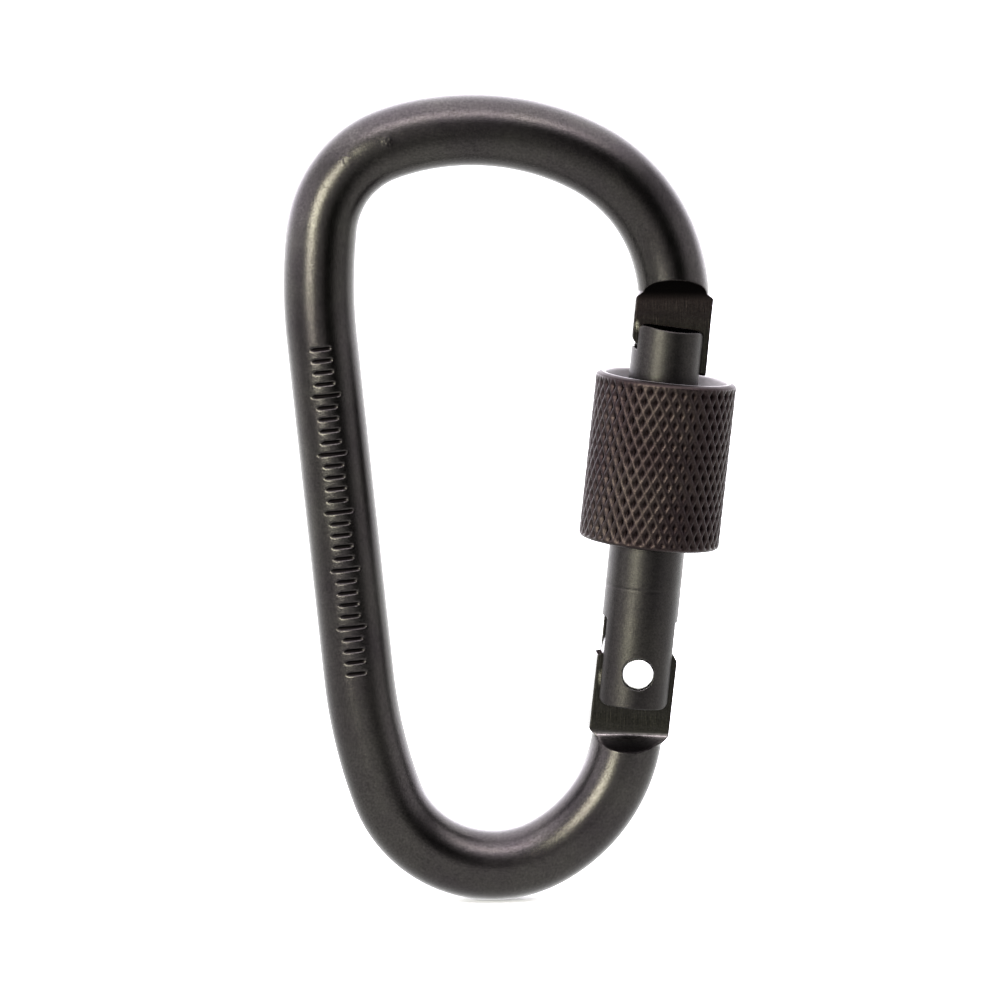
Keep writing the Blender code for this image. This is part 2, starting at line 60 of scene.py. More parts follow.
PIVOT = (12.3457, 23.0542)  # x and z of the rivet
TILT = math.radians(6.3)
GATE_TILT = math.radians(5.65)  # the gate rests a little to the spine's side of the joint
SLEEVE_TILT = math.radians(6.02)
HOLE_RADIUS = 1.57  # the rivet's hole in body and gate
NOSE_BEVEL = ((-1.0, 29.2), (-4.0, 32.8))  # two (side, up) on the nose's sloping edge
THREAD_PITCH = 1.5


# ---- geometry helpers --------------------------------------------------------------


def gate_to_world(points, tilt=TILT):
    """(side, y, up) to world x, y, z."""
    points = np.asarray(points, float)
    side, y, up = points[..., 0], points[..., 1], points[..., 2]
    cos, sin = math.cos(tilt), math.sin(tilt)
    return np.stack([PIVOT[0] + side * cos + up * sin, y, PIVOT[1] - side * sin + up * cos], -1)


def world_to_gate(x, z):
    """World x, z to (side, up)."""
    cos, sin = math.cos(TILT), math.sin(TILT)
    dx, dz = x - PIVOT[0], z - PIVOT[1]
    return dx * cos - dz * sin, dx * sin + dz * cos


def smooth_max(a, b, blend):
    return np.maximum(a, b) + np.maximum(blend - np.abs(a - b), 0.0) ** 2 / (4 * blend)


def smooth_min(a, b, blend):
    return -smooth_max(-a, -b, blend)


def smoothstep(value, start, end):
    share = np.clip((value - start) / (end - start), 0.0, 1.0)
    return share * share * (3 - 2 * share)


def bell(value, middle, width):
    return np.exp(-(((value - middle) / width) ** 2))


def angles(count):
    return math.tau * np.arange(count) / count


def off_thread(up, angle, start=0.0):
    """Distance along the axis from the nearest turn of the thread."""
    phase = (up - start) / THREAD_PITCH - angle / math.tau
    return np.abs(phase - np.round(phase)) * THREAD_PITCH


def signed_volume(points, faces):
    a, b, c = (points[faces[:, i]] for i in (0, 1, 2))
    total = np.einsum("ij,ij->i", a, np.cross(b, c)).sum()
    if faces.shape[1] == 4:
        d = points[faces[:, 3]]
        total += np.einsum("ij,ij->i", a, np.cross(c, d)).sum()
    return total / 6


def make(name, points, groups, *, material, body, node, slot, normals=None):
    """An object from points in millimetres and arrays of faces, turned to face outwards."""
    volume = sum(signed_volume(points, group) for group in groups)
    faces = []
    for group in groups:
        faces += (group if volume > 0 else group[:, ::-1]).tolist()
    mesh = bpy.data.meshes.new(name)
    mesh.from_pydata((points * MM).tolist(), [], faces)
    mesh.validate()
    mesh.shade_smooth()
    if normals is not None:
        mesh.normals_split_custom_set_from_vertices(normals.tolist())
    mesh.materials.append(material)
    obj = bpy.data.objects.new(name, mesh)
    bpy.context.scene.collection.objects.link(obj)
    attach(obj, body)
    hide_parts(node)
    return obj


def add_attribute(mesh, name, values):
    attribute = mesh.attributes.new(name, "FLOAT", "POINT")
    attribute.data.foreach_set("value", values.astype(np.float32))


def ring_faces(rows, columns, wrap_rows=False):
    i = np.arange(rows if wrap_rows else rows - 1)[:, None]
    j = np.arange(columns)[None, :]
    i2, j2 = (i + 1) % rows, (j + 1) % columns
    corners = [i * columns + j, i * columns + j2, i2 * columns + j2, i2 * columns + j]
    return np.stack(corners, -1).reshape(-1, 4)


def loft(rings):
    """Points and faces of rings (rows, columns, 3), closed at both ends by a fan."""
    rows, columns, _ = rings.shape
    centres = np.stack([rings[0].mean(0), rings[-1].mean(0)])
    first = rows * columns
    points = np.concatenate([rings.reshape(-1, 3), centres])
    j = np.arange(columns)
    j2 = (j + 1) % columns
    top = (rows - 1) * columns
    return points, [
        ring_faces(rows, columns),
        np.stack([j2, j, np.full(columns, first)], -1),
        np.stack([top + j, top + j2, np.full(columns, first + 1)], -1),
    ]


def lathe(name, profile, columns, place, wobble=None, **part):
    """A turned piece from a profile of (radius, up) whose ends are near the axis."""
    profile = np.array(profile, float)
    theta = angles(columns)
    radius = np.repeat(profile[:, :1], columns, 1)
    up = np.repeat(profile[:, 1:2], columns, 1)
    if wobble:
        radius, up = wobble(radius, up, theta)
    rings = place(np.stack([radius * np.cos(theta), radius * np.sin(theta), up], -1))
    return make(name, *loft(rings), **part)


def iso_mesh(field, low, high, step):
    """Points, quads and normals of the closed surface where field is 0."""
    low, high = np.asarray(low, float), np.asarray(high, float)
    counts = np.ceil((high - low) / step).astype(int) + 1
    axes = [low[i] + step * np.arange(counts[i]) for i in range(3)]
    values = field(*np.meshgrid(*axes, indexing="ij"))
    volume = openvdb.FloatGrid()
    volume.background = 1.0
    volume.copyFromArray(np.clip(values, -1.0, 1.0).astype(np.float32))
    points, quads = volume.convertToQuads(isovalue=0.0)
    points = low + np.asarray(points, float) * step
    reach = 0.004  # half the span that slopes are measured over

    def gradient(spots):
        slopes = []
        for axis in range(3):
            nudge = np.zeros(3)
            nudge[axis] = reach
            ahead, back = spots + nudge, spots - nudge
            slopes.append((field(*ahead.T) - field(*back.T)) / (2 * reach))
        return np.stack(slopes, -1)

    # the points are pulled on to the surface, in steps short enough not to overshoot
    for _ in range(4):
        slope = gradient(points)
        steepness = np.maximum((slope * slope).sum(1), 0.05)
        move = -(field(*points.T) / steepness)[:, None] * slope
        length = np.linalg.norm(move, axis=1)
        move *= np.minimum(1.0, 0.3 * step / np.maximum(length, 1e-9))[:, None]
        points = points + move
    slope = gradient(points)
    normals = slope / np.maximum(np.linalg.norm(slope, axis=1), 1e-9)[:, None]
    return points, np.asarray(quads, int), normals


# ---- shader helpers ----------------------------------------------------------------


class Net:
    """Adds nodes to a tree. Values may be sockets, numbers or, for colours, tuples."""

    def __init__(self, tree):
        self.tree = tree

    def node(self, kind, **settings):
        made = self.tree.nodes.new(kind)
        for key, value in settings.items():
            setattr(made, key, value)
        return made

    def put(self, value, socket):
        if isinstance(value, bpy.types.NodeSocket):
            self.tree.links.new(value, socket)
        else:
            socket.default_value = value

    def math(self, kind, a, b=None, clamp=False):
        made = self.node("ShaderNodeMath", operation=kind, use_clamp=clamp)
        self.put(a, made.inputs[0])
        if b is not None:
            self.put(b, made.inputs[1])
        return made.outputs[0]

    def add(self, a, b):
        return self.math("ADD", a, b)

    def times(self, a, b, clamp=False):
        return self.math("MULTIPLY", a, b, clamp)

    def span(self, value, over, to=(0.0, 1.0), smooth=False):
        """Value's stretch `over` carried on to the stretch `to`, and held beyond it."""
        made = self.node("ShaderNodeMapRange", clamp=True)
        if smooth:
            made.interpolation_type = "SMOOTHSTEP"
        self.put(value, made.inputs["Value"])
        for key, number in zip(("From Min", "From Max", "To Min", "To Max"), (*over, *to)):
            made.inputs[key].default_value = number
        return made.outputs[0]

    def mix(self, factor, a, b):
        made = self.node("ShaderNodeMix", data_type="RGBA")
        self.put(factor, made.inputs[0])
        for i, value in ((6, a), (7, b)):
            self.put((*value, 1.0) if isinstance(value, tuple) else value, made.inputs[i])
        return made.outputs[2]

    def noise(self, vector, scale, detail=4.0, rough=0.55):
        made = self.node("ShaderNodeTexNoise")
        made.inputs["Scale"].default_value = scale
        made.inputs["Detail"].default_value = detail
        made.inputs["Roughness"].default_value = rough
        self.put(vector, made.inputs["Vector"])
        return made.outputs["Fac"]

    def attribute(self, name):
        return self.node("ShaderNodeAttribute", attribute_name=name).outputs["Fac"]

    def split(self, vector):
        made = self.node("ShaderNodeSeparateXYZ")
        self.put(vector, made.inputs[0])
        return made.outputs

    def scaled(self, vector, factor):
        made = self.node("ShaderNodeVectorMath", operation="SCALE")
        self.put(vector, made.inputs[0])
        self.put(factor, made.inputs["Scale"])
        return made.outputs[0]

    def measure(self, kind, a, b=None):
        """A number from vectors, such as a length or a distance."""
        made = self.node("ShaderNodeVectorMath", operation=kind)
        self.put(a, made.inputs[0])
        if b is not None:
            self.put(b, made.inputs[1])
        return made.outputs["Value"]

    def mapped(self, vector, scale, location=(0.0, 0.0, 0.0)):
        made = self.node("ShaderNodeMapping")
        self.put(vector, made.inputs["Vector"])
        made.inputs["Location"].default_value = location
        made.inputs["Scale"].default_value = scale
        return made.outputs[0]


# ---- materials ---------------------------------------------------------------------


def metal(
    name, *, dark, light, rough, grain,
    speckle=0.0, turned=False, dress=None, worn=None, wear=0.0, bevel=0.0,
):
    """A metal with blotchy tone, uneven polish and fine grain.

    speckle is the strength of light and dark points, and turned adds fine lathe lines.
    dress adds a piece's own marks, its painted shade and its painted highlights. worn is the colour
    of the edges, wear how much of it shows and bevel how far it reaches in millimetres.
    """
    made = bpy.data.materials.new(name)
    made.use_nodes = True
    net = Net(made.node_tree)
    shader = made.node_tree.nodes["Principled BSDF"]
    shader.inputs["Metallic"].default_value = 1.0
    mm = net.scaled(net.node("ShaderNodeTexCoord").outputs["Object"], 1000.0)

    blotch = net.noise(mm, scale=0.16, detail=3.0)
    fine = net.noise(mm, scale=2.6, detail=5.0, rough=0.65)
    tone = net.span(net.add(net.times(blotch, 0.7), net.times(fine, 0.3)), over=(0.36, 0.64))
    colour = net.mix(tone, dark, light)
    if speckle:
        points = net.noise(mm, scale=5.5, detail=2.0, rough=0.7)
        points = net.span(points, over=(0.30, 0.70), to=(1.0 - speckle, 1.0 + speckle))
        colour = net.scaled(colour, points)
    smear = net.noise(mm, scale=0.55, rough=0.6)
    look = SimpleNamespace(
        shader=shader,
        mm=mm,
        colour=colour,
        roughness=net.span(smear, over=(0.3, 0.7), to=rough),
        height=net.noise(mm, scale=6.5, detail=3.0, rough=0.7),
    )
    if dress:
        dress(net, look)
    if turned:
        lines = net.mapped(mm, scale=(1.2, 1.2, 22.0))
        lines = net.noise(lines, scale=1.0, detail=3.0, rough=0.5)
        look.height = net.add(look.height, net.times(lines, 0.5))

    bump = net.node("ShaderNodeBump")
    bump.inputs["Strength"].default_value = grain
    bump.inputs["Distance"].default_value = 0.00004
    net.put(look.height, bump.inputs["Height"])
    if worn:
        # an edge is where the softened normal turns away from the true one
        soft = net.node("ShaderNodeBevel", samples=6)
        soft.inputs["Radius"].default_value = bevel * MM
        normal = net.node("ShaderNodeNewGeometry").outputs["Normal"]
        agreement = net.measure("DOT_PRODUCT", soft.outputs[0], normal)
        edge = net.span(agreement, over=(0.995, 0.86))
        patches = net.noise(mm, scale=1.1, rough=0.6)
        patches = net.span(patches, over=(0.38, 0.62), to=(0.35, 1.0))
        mask = net.times(net.times(edge, patches), wear, clamp=True)
        look.colour = net.mix(mask, look.colour, worn)
        net.put(soft.outputs[0], bump.inputs["Normal"])
    net.put(look.colour, shader.inputs["Base Color"])
    net.put(look.roughness, shader.inputs["Roughness"])
    net.put(bump.outputs[0], shader.inputs["Normal"])
    return made


def dull(net, look, mask, tint):
    """Takes the edge-on shine down to tint where mask is 1."""
    net.put(net.mix(mask, (1.0, 1.0, 1.0), tint), look.shader.inputs["Specular Tint"])


def shade_gate_end(net, look):
    """The top end painted near black as painted shade, its edge-on shine taken down."""
    end = net.attribute("end")
    look.colour = net.mix(end, look.colour, (0.002, 0.002, 0.002))
    dull(net, look, end, tint=(0.02, 0.02, 0.02))


def dress_sleeve(net, look):
    """Painted shade in the knurl's pits and painted light on the inside of the mouth."""
    pit = net.span(net.attribute("pit"), over=(0.20, 0.72), smooth=True)
    # painted shade: near black in the pits, with the edge-on shine taken down
    colour = net.mix(pit, look.colour, (0.0035, 0.0022, 0.0022))
    dull(net, look, pit, tint=(0.08, 0.06, 0.06))
    # painted light: the mouth's inside made pale where the white surroundings light it
    painted_light_mouth = net.attribute("painted_light_mouth")
    look.colour = net.mix(painted_light_mouth, colour, (0.25, 0.24, 0.24))
    look.roughness = net.add(look.roughness, net.times(painted_light_mouth, 0.12))


# painted shade: the colour of the plates' right-facing edges, the hinge end's top and the nose's
# hollow
EDGE_SHADE_COLOUR = (0.014, 0.009, 0.008)
# painted shade colours of the flats
LOW_FLAT_SHADE_COLOUR = (0.0105, 0.0105, 0.0072)  # the hinge's flats
HIGH_FLAT_SHADE_COLOUR = (0.0150, 0.0098, 0.0092)  # the nose's flats
# painted highlight along the shoulders' folds
FOLD_HIGHLIGHT_COLOUR = (0.19, 0.175, 0.17)
# painted highlights on the plates' spine-side edges, facing the key light
SIDE_HIGHLIGHT_COLOUR = (0.34, 0.32, 0.25)
SIDE_HIGHLIGHTS = ((8.95, 22.4, 1.05), (12.35, 57.3, 0.75))  # x, z, half height
SIDE_HIGHLIGHT_SQUEEZE = 2.2  # a painted highlight is this much narrower than tall
NICKS = ((-16.4, 73.9, 1.1), (-12.2, 75.6, 0.8), (-20.4, 69.0, 0.6))  # x, z, radius
NICK_Y = -3.3


def dress_body(net, look):
    """Rough pressed edges painted dark as shade, brushed flats with painted shade, painted
    highlights on the folds and spine-side edges, darkened matt floors of the stamped marks and
    painted shade in the hollows.
    """
    mm = look.mm
    edge, flat, marks_and_hollow_shade = (net.attribute(name) for name in ("edge", "flat", "marks_and_hollow_shade"))
    # painted shade on the right-facing plate edges, the hinge end's top and the nose's hollow
    colour = net.mix(net.times(edge, 0.75), look.colour, EDGE_SHADE_COLOUR)
    # painted shade: the flats darkened, the hinge's olive and the nose's pinkish
    between_flats = net.span(net.split(mm)[2], over=(55.5, 59.0))
    flat_shade_colour = net.mix(between_flats, LOW_FLAT_SHADE_COLOUR, HIGH_FLAT_SHADE_COLOUR)
    colour = net.mix(net.times(flat, 0.62), colour, flat_shade_colour)
    # painted highlight: a pale line along the folds, broken into patches
    painted_fold_highlight = net.attribute("painted_fold_highlight")
    patches = net.noise(mm, scale=2.2, detail=3.0, rough=0.6)
    patches = net.span(patches, over=(0.3, 0.6), to=(0.55, 1.0))
    colour = net.mix(net.times(painted_fold_highlight, patches), colour, FOLD_HIGHLIGHT_COLOUR)

    # painted highlights on the plates' spine-side edges
    for x, z, reach in SIDE_HIGHLIGHTS:
        about_highlight = net.mapped(
            mm, scale=(SIDE_HIGHLIGHT_SQUEEZE, 0.0, 1.0), location=(-SIDE_HIGHLIGHT_SQUEEZE * x, 0.0, -z)
        )
        away = net.measure("LENGTH", about_highlight)
        near = net.span(away, over=(reach, 0.0), smooth=True)
        patches = net.noise(mm, scale=5.0, detail=3.0, rough=0.6)
        highlit = net.times(near, net.span(patches, over=(0.34, 0.60)))
        colour = net.mix(highlit, colour, SIDE_HIGHLIGHT_COLOUR)
    # the stamped marks' floors darkened, and painted shade in the hollow shoulders
    look.colour = net.mix(marks_and_hollow_shade, colour, (0.003, 0.0025, 0.0025))

    rougher = net.add(net.times(marks_and_hollow_shade, 0.25), net.times(flat, 0.10))
    rougher = net.add(net.times(edge, 0.28), rougher)
    look.roughness = net.add(look.roughness, rougher)
    matt = net.math("MAXIMUM", net.times(edge, 0.9), marks_and_hollow_shade)
    dull(net, look, matt, tint=(0.05, 0.04, 0.04))

    brushed = net.noise(net.mapped(mm, scale=(9.0, 1.0, 0.5)), scale=1.0, detail=3.0)
    height = net.add(look.height, net.times(brushed, net.times(flat, 2.4)))
    # nicks on the front of the tight bend
    for x, z, radius in NICKS:
        away = net.measure("DISTANCE", mm, (x, NICK_Y, z))
        near = net.span(away, over=(radius, 0.2 * radius), smooth=True)
        rough_ground = net.noise(mm, scale=3.2, detail=2.0, rough=0.5)
        height = net.add(height, net.times(rough_ground, net.times(near, 4.5)))
    look.height = height


BODY_METAL = metal(
    "body_anodised", dark=(0.0265, 0.0235, 0.0240), light=(0.0350, 0.0330, 0.0300),
    rough=(0.205, 0.27), grain=0.38, speckle=0.42, dress=dress_body,
    worn=(0.16, 0.15, 0.14), wear=0.08, bevel=0.06,
)
GATE_METAL = metal(
    "gate_anodised", dark=(0.0200, 0.0182, 0.0182), light=(0.0280, 0.0262, 0.0236),
    rough=(0.31, 0.40), grain=0.45, speckle=0.25, turned=True, dress=shade_gate_end,
    worn=(0.60, 0.59, 0.57), wear=1.0, bevel=0.10,
)
SLEEVE_METAL = metal(
    "sleeve_anodised", dark=(0.0178, 0.0122, 0.0128), light=(0.0275, 0.0214, 0.0194),
    rough=(0.35, 0.47), grain=0.4, speckle=0.30, dress=dress_sleeve,
    worn=(0.13, 0.11, 0.10), wear=0.25, bevel=0.06,
)
RIVET_METAL = metal(
    "rivet_bare", dark=(0.86, 0.86, 0.85), light=(0.96, 0.96, 0.95),
    rough=(0.42, 0.55), grain=0.5,
)
SPRING_METAL = metal(
    "spring_steel", dark=(0.40, 0.40, 0.41), light=(0.55, 0.55, 0.56),
    rough=(0.22, 0.32), grain=0.2,
)
BRASS = metal(
    "follower_brass", dark=(0.55, 0.40, 0.19), light=(0.68, 0.52, 0.28),
    rough=(0.24, 0.36), grain=0.3, turned=True,
)


# ---- body: the bar's middle line ---------------------------------------------------

BAR_RADIUS = 3.5
NOSE_START = 34.7  # up, where the nose's straight ends and the bends begin
# radius and degrees of each bend; the two left open bring the bar round to the hinge line
TOP_BENDS = ((16.18, 69.76), (24.52, 47.06), (9.63, 63.04), (49.2, 12.43))
SPINE = 33.69
BOTTOM_BENDS = ((49.2, 14.19), (None, 100.39), (15.54, None))
TIGHT_BEND_AT = 45.1  # middle of the tightest bend, along the bar from NOSE_START
NOSE_END_RADIUS = 29.95  # the circle about the rivet that the nose ends on
END_ROUND, ROUND_ROWS = 0.22, 6  # rounding of the nose's end
GATE_HEADING = math.pi / 2 - TILT


def walk_bar(free_radius, split=lambda start, length: [length]):
    """Stations (x, z, heading) from NOSE_START round to the hinge, and the spine's stretch.

    split gives the stations' distances into a piece. The last result is the whole length.
    """
    given = sum(turn for _, turn in TOP_BENDS) + sum(turn for _, turn in BOTTOM_BENDS if turn)
    bottom = [(radius or free_radius, turn or 360.0 - given) for radius, turn in BOTTOM_BENDS]
    x, _, z = gate_to_world((0.0, 0.0, NOSE_START))
    heading, gone = GATE_HEADING, 0.0
    found, straight = [(x, z, heading)], None
    for radius, turn in (*TOP_BENDS, (0.0, SPINE), *bottom):
        length = radius * math.radians(turn) if radius else turn
        if not radius:
            straight = (gone, gone + length)
        x0, z0, heading0 = x, z, heading
        for far in split(gone, length):
            if radius:
                angle = far / radius
                chord = 2 * radius * math.sin(angle / 2)
                x = x0 + chord * math.cos(heading0 + angle / 2)
                z = z0 + chord * math.sin(heading0 + angle / 2)
                heading = heading0 + angle
            else:
                x, z = x0 + far * math.cos(heading0), z0 + far * math.sin(heading0)
            found.append((x, z, heading))
        gone += length
    return found, straight, gone


def bar_stations():
    """Stations from NOSE_START to the hinge line, and where the spine's straight lies."""

    def miss(free_radius):
        x, z, _ = walk_bar(free_radius)[0][-1]
        return world_to_gate(x, z)[0]

    # the miss is linear in the radius, so two trials give the radius that hits the line
    low, high = 8.0, 16.0
    at_low, at_high = miss(low), miss(high)
    free_radius = low + (high - low) * at_low / (at_low - at_high)
    _, straight, whole = walk_bar(free_radius)

    def split(start, length):
        """Fine steps near the two ends and along the spine's marks, coarse elsewhere."""
        spots, at, end = [], start, start + length
        while at < end - 1e-9:
            if at < 6.5 or at > whole - 7.5:
                step = 0.07
            elif straight[0] - 1.2 < at < straight[1] + 1.2:
                step = 0.09
            else:
                step = 0.55
            at = min(end, at + step)
            if end - at < 0.4 * step:
                at = end
            spots.append(at - start)
        return spots

    found, straight, _ = walk_bar(free_radius, split)
    return found, straight


def upright_stations(ups, heading):
    return [(x, z, heading) for x, _, z in gate_to_world([(0.0, 0.0, up) for up in ups])]


def bar_line():
    """The bar's middle line from the nose's end to the hinge's, one array item a station."""
    found, straight = bar_stations()
    end_up = world_to_gate(found[-1][0], found[-1][1])[1]
    nose_ups = [
        NOSE_END_RADIUS + END_ROUND * (1 - math.cos(math.radians(18 * k)))
        for k in range(ROUND_ROWS)
    ]
    nose_ups += list(np.arange(NOSE_END_RADIUS + 0.4, NOSE_START - 0.1, 0.22))
    hinge_ups = [end_up, *np.arange(end_up + 0.06, -5.7, 0.06)]
    hinge_ups += list(np.arange(hinge_ups[-1] + 0.12, 1.15, 0.12))
    rows = upright_stations(nose_ups, GATE_HEADING) + found
    rows += upright_stations(hinge_ups[1:], GATE_HEADING + math.tau)

    x, z, heading = np.array(rows).T
    along = np.concatenate([[0.0], np.cumsum(np.hypot(np.diff(x), np.diff(z)))])
    along -= along[len(nose_ups)]
    out_x, out_z = np.sin(heading), -np.cos(heading)
    side, up = world_to_gate(x, z)
    return SimpleNamespace(
        x=x, z=z, side=side, up=up, along=along, straight=straight,
        # the direction out of the loop, across the bar
        out_x=out_x, out_z=out_z, out_side=out_x * math.cos(TILT) - out_z * math.sin(TILT),
        is_nose=along < 40.0, is_hinge=along > along[-1] - 18.0,
    )


# ---- body: sections ----------------------------------------------------------------

AROUND = 128
TONGUE_HALF, ROOT_HALF = 1.33, 1.42  # half thickness of a plate, at its end and its fold
TONGUE_SIDE = 3.97  # half width of the hinge's plate
NOSE_LEFT, NOSE_RIGHT = 4.0, 3.6  # reach of the nose's plate to each side
PLATE_CORNER = 0.13
NOSE_RUN = 2.3  # length of the nose's hollow shoulder
FOLD_LEAN = math.tan(math.radians(4.8))  # the folds run square to the bar, not to the gate
NOSE_STEP_UP, NOSE_FOLD_UP = 35.6, 36.8
HINGE_STEP_UP, HINGE_FOLD_UP = -4.35, -6.4
CAM_RADIUS, CAM_RISE, CAM_SPAN, CAM_END = 3.6, 0.9, 40.0, 49.0  # rise a radian; degrees
CORNER_UP = 1.3  # the hinge end's square corner


def past_nose_fold(side, up):
    return up - NOSE_FOLD_UP - side * FOLD_LEAN * 1.15


def past_hinge_fold(side, up):
    return HINGE_FOLD_UP - up + side * FOLD_LEAN * 0.85


def nose_shoulder(past):
    """Rise of the hollow shoulder above the flat, so far past the fold."""
    return (BAR_RADIUS - ROOT_HALF) * (np.maximum(past, 0.0) / NOSE_RUN) ** 2.2


def hinge_shoulder(past):
    past = np.maximum(past, 0.0)
    return 0.7 * past + 0.46 * past * past


def plate_outline(left, right, half, inset=0.0):
    """Sides and ys round a rounded rectangle from left to right, half to front and back."""
    middle, reach = (left + right) / 2, (right - left) / 2 - inset
    half = half - inset
    corner = min(PLATE_CORNER, 0.8 * half, 0.8 * reach)
    edge_count, corner_count = 5, 9
    quarter = [(reach, (half - corner) * i / edge_count) for i in range(edge_count)]
    for i in range(corner_count):
        angle = math.pi / 2 * i / corner_count
        spot = (reach - corner + corner * math.cos(angle), half - corner + corner * math.sin(angle))
        quarter.append(spot)
    rest = AROUND // 4 - edge_count - corner_count
    quarter += [((reach - corner) * (1 - i / rest), half) for i in range(rest + 1)]
    quarter = np.array(quarter)
    mirrored = np.stack([-quarter[:0:-1, 0], quarter[:0:-1, 1]], -1)
    back = np.concatenate([quarter[:-1], mirrored])
    whole = np.concatenate([back, -back])
    return middle + whole[:, 0], whole[:, 1]


def add_plate_sizes(bar):
    """Adds the plates' side edges, half thickness and share of the section to the bar."""
    (side0, up0), (side1, up1) = NOSE_BEVEL
    bevel = side0 + (side1 - side0) * (bar.up - up0) / (up1 - up0)
    nose_left = np.minimum(smooth_max(-NOSE_LEFT, bevel, 0.2), side0)
    bar.left = np.where(bar.is_nose, nose_left, -TONGUE_SIDE)
    bar.right = np.where(bar.is_nose, NOSE_RIGHT, TONGUE_SIDE)
    step = ROOT_HALF - TONGUE_HALF
    nose = TONGUE_HALF + step * smoothstep(bar.up, NOSE_STEP_UP - 0.5, NOSE_STEP_UP + 0.3)
    hinge = ROOT_HALF - step * smoothstep(bar.up, HINGE_STEP_UP - 1.3, HINGE_STEP_UP + 0.1)
    # a faint groove across the hinge's flat
    hinge = hinge - 0.02 * bell(bar.up - HINGE_FOLD_UP, 0.78, 0.07)
    bar.half = np.where(bar.is_nose, nose, np.where(bar.is_hinge, hinge, TONGUE_HALF))
    hinge_share = smoothstep(bar.up, HINGE_FOLD_UP - 0.75, HINGE_FOLD_UP + 0.35)
    bar.hinge_share = np.where(bar.is_hinge, hinge_share, 0.0)


def gate_place(bar, k, out):
    """(side, up) of points so far out from the middle line at station k."""
    return world_to_gate(bar.x[k] + bar.out_x[k] * out, bar.z[k] + bar.out_z[k] * out)


def round_section(bar, k):
    """The round bar as (out, y), thinned a little at the tight bend, cut by the shoulders."""
    radius = BAR_RADIUS * (1 - 0.018 * bell(bar.along[k], TIGHT_BEND_AT, 5.0))
    phi = angles(AROUND)
    out, y = radius * np.cos(phi), radius * np.sin(phi)
    side, up = gate_place(bar, k, out)
    limit = 9.0  # clear of the bar
    if bar.is_nose[k]:
        limit = bar.half[k] + nose_shoulder(past_nose_fold(side, up))
    elif bar.is_hinge[k] and bar.up[k] > -14:
        limit = bar.half[k] + hinge_shoulder(past_hinge_fold(side, up))
    # crisp where the hollow meets the bar's crown, melting into its sides at the hinge
    blend = 0.06
    if bar.is_hinge[k]:
        blend = 0.06 + 0.35 * smoothstep(np.abs(side), 1.9, 3.2)
    return out, np.sign(y) * np.maximum(smooth_min(np.abs(y), limit, blend), 0.0)


def plate_section(bar, k):
    """The flat plate as (out, y), and its share against the round bar."""
    inset = 0.0
    if k < ROUND_ROWS:
        inset = END_ROUND * (1 - math.sin(math.radians(18 * k)))
    side, y = plate_outline(bar.left[k], bar.right[k], bar.half[k], inset)
    # the edges are given in side: carried on to this station's own crossing line
    out = (side - bar.side[k]) / bar.out_side[k]
    side, up = gate_place(bar, k, out)
    if bar.is_nose[k]:
        lift = nose_shoulder(past_nose_fold(side, up))
        # the plate's top corners, the outer one a little higher
        share = 1 - smoothstep(up - NOSE_FOLD_UP - 0.072 * side, 0.27, 0.92)
    else:
        lift = hinge_shoulder(past_hinge_fold(side, up))
        share = bar.hinge_share[k]
    return out, y * (1 + lift / ROOT_HALF), share


def cam_point(angle):
    """(side, up) on the hinge end's cam, degrees from up towards the spine."""
    if angle <= 0:
        radius = CAM_RADIUS + 0.4 * min(1.0, max(0.0, (-angle - 30) / 34)) ** 2
    else:
        radius = CAM_RADIUS + CAM_RISE * math.radians(min(angle, CAM_SPAN))
    return -radius * math.sin(math.radians(angle)), radius * math.cos(math.radians(angle))


def cam_rings():
    """The hinge end's rounded top, with a square corner towards the spine."""
    # (side, up) of the outline below the cam, on the spine's side and on the other
    left = [
        (-TONGUE_SIDE + 0.01, CORNER_UP - 0.09), (-TONGUE_SIDE + 0.06, CORNER_UP - 0.02),
        (-TONGUE_SIDE + 0.2, CORNER_UP + 0.03), (-3.52, CORNER_UP + 0.1),
        (-3.43, CORNER_UP + 0.18), (-3.38, CORNER_UP + 0.4), (-3.32, CORNER_UP + 0.95),
    ]
    right = [
        (TONGUE_SIDE - 0.01, 1.22), (TONGUE_SIDE - 0.03, 1.30), (TONGUE_SIDE - 0.07, 1.38),
        (TONGUE_SIDE - 0.12, 1.46), (TONGUE_SIDE - 0.18, 1.55), (TONGUE_SIDE - 0.24, 1.64),
        (TONGUE_SIDE - 0.3, 1.74),
    ]
    ends = list(zip(left, right))
    for share in np.linspace(1.0, 0.07, 42):
        ends.append((cam_point(CAM_END * share), cam_point(-62 * share)))
    rings = []
    for (left_side, left_up), (right_side, right_up) in ends:
        side, y = plate_outline(left_side, right_side, TONGUE_HALF)
        share = (side - left_side) / (right_side - left_side)
        up = left_up + (right_up - left_up) * share
        rings.append(gate_to_world(np.stack([side, y, up], -1)))
    return np.array(rings)


def body_rings(bar):
    rings = np.zeros((len(bar.x), AROUND, 3))
    for k in range(len(bar.x)):
        out, y = round_section(bar, k)
        if bar.hinge_share[k] > 0 or (bar.is_nose[k] and bar.up[k] < NOSE_FOLD_UP + 2.6):
            plate_out, plate_y, share = plate_section(bar, k)
            out = share * plate_out + (1 - share) * out
            y = share * plate_y + (1 - share) * y
        x, z = bar.x[k] + bar.out_x[k] * out, bar.z[k] + bar.out_z[k] * out
        rings[k] = np.stack([x, y, z], -1)
    # the nose's end follows the circle about the rivet
    for k in range(12):
        side, up = world_to_gate(rings[k, :, 0], rings[k, :, 2])
        drop = np.sqrt(NOSE_END_RADIUS**2 - side**2) - NOSE_END_RADIUS
        up = up + drop * (1 - smoothstep(k, 5, 11))
        rings[k] = gate_to_world(np.stack([side, rings[k, :, 1], up], -1))
    return np.concatenate([rings, cam_rings()])


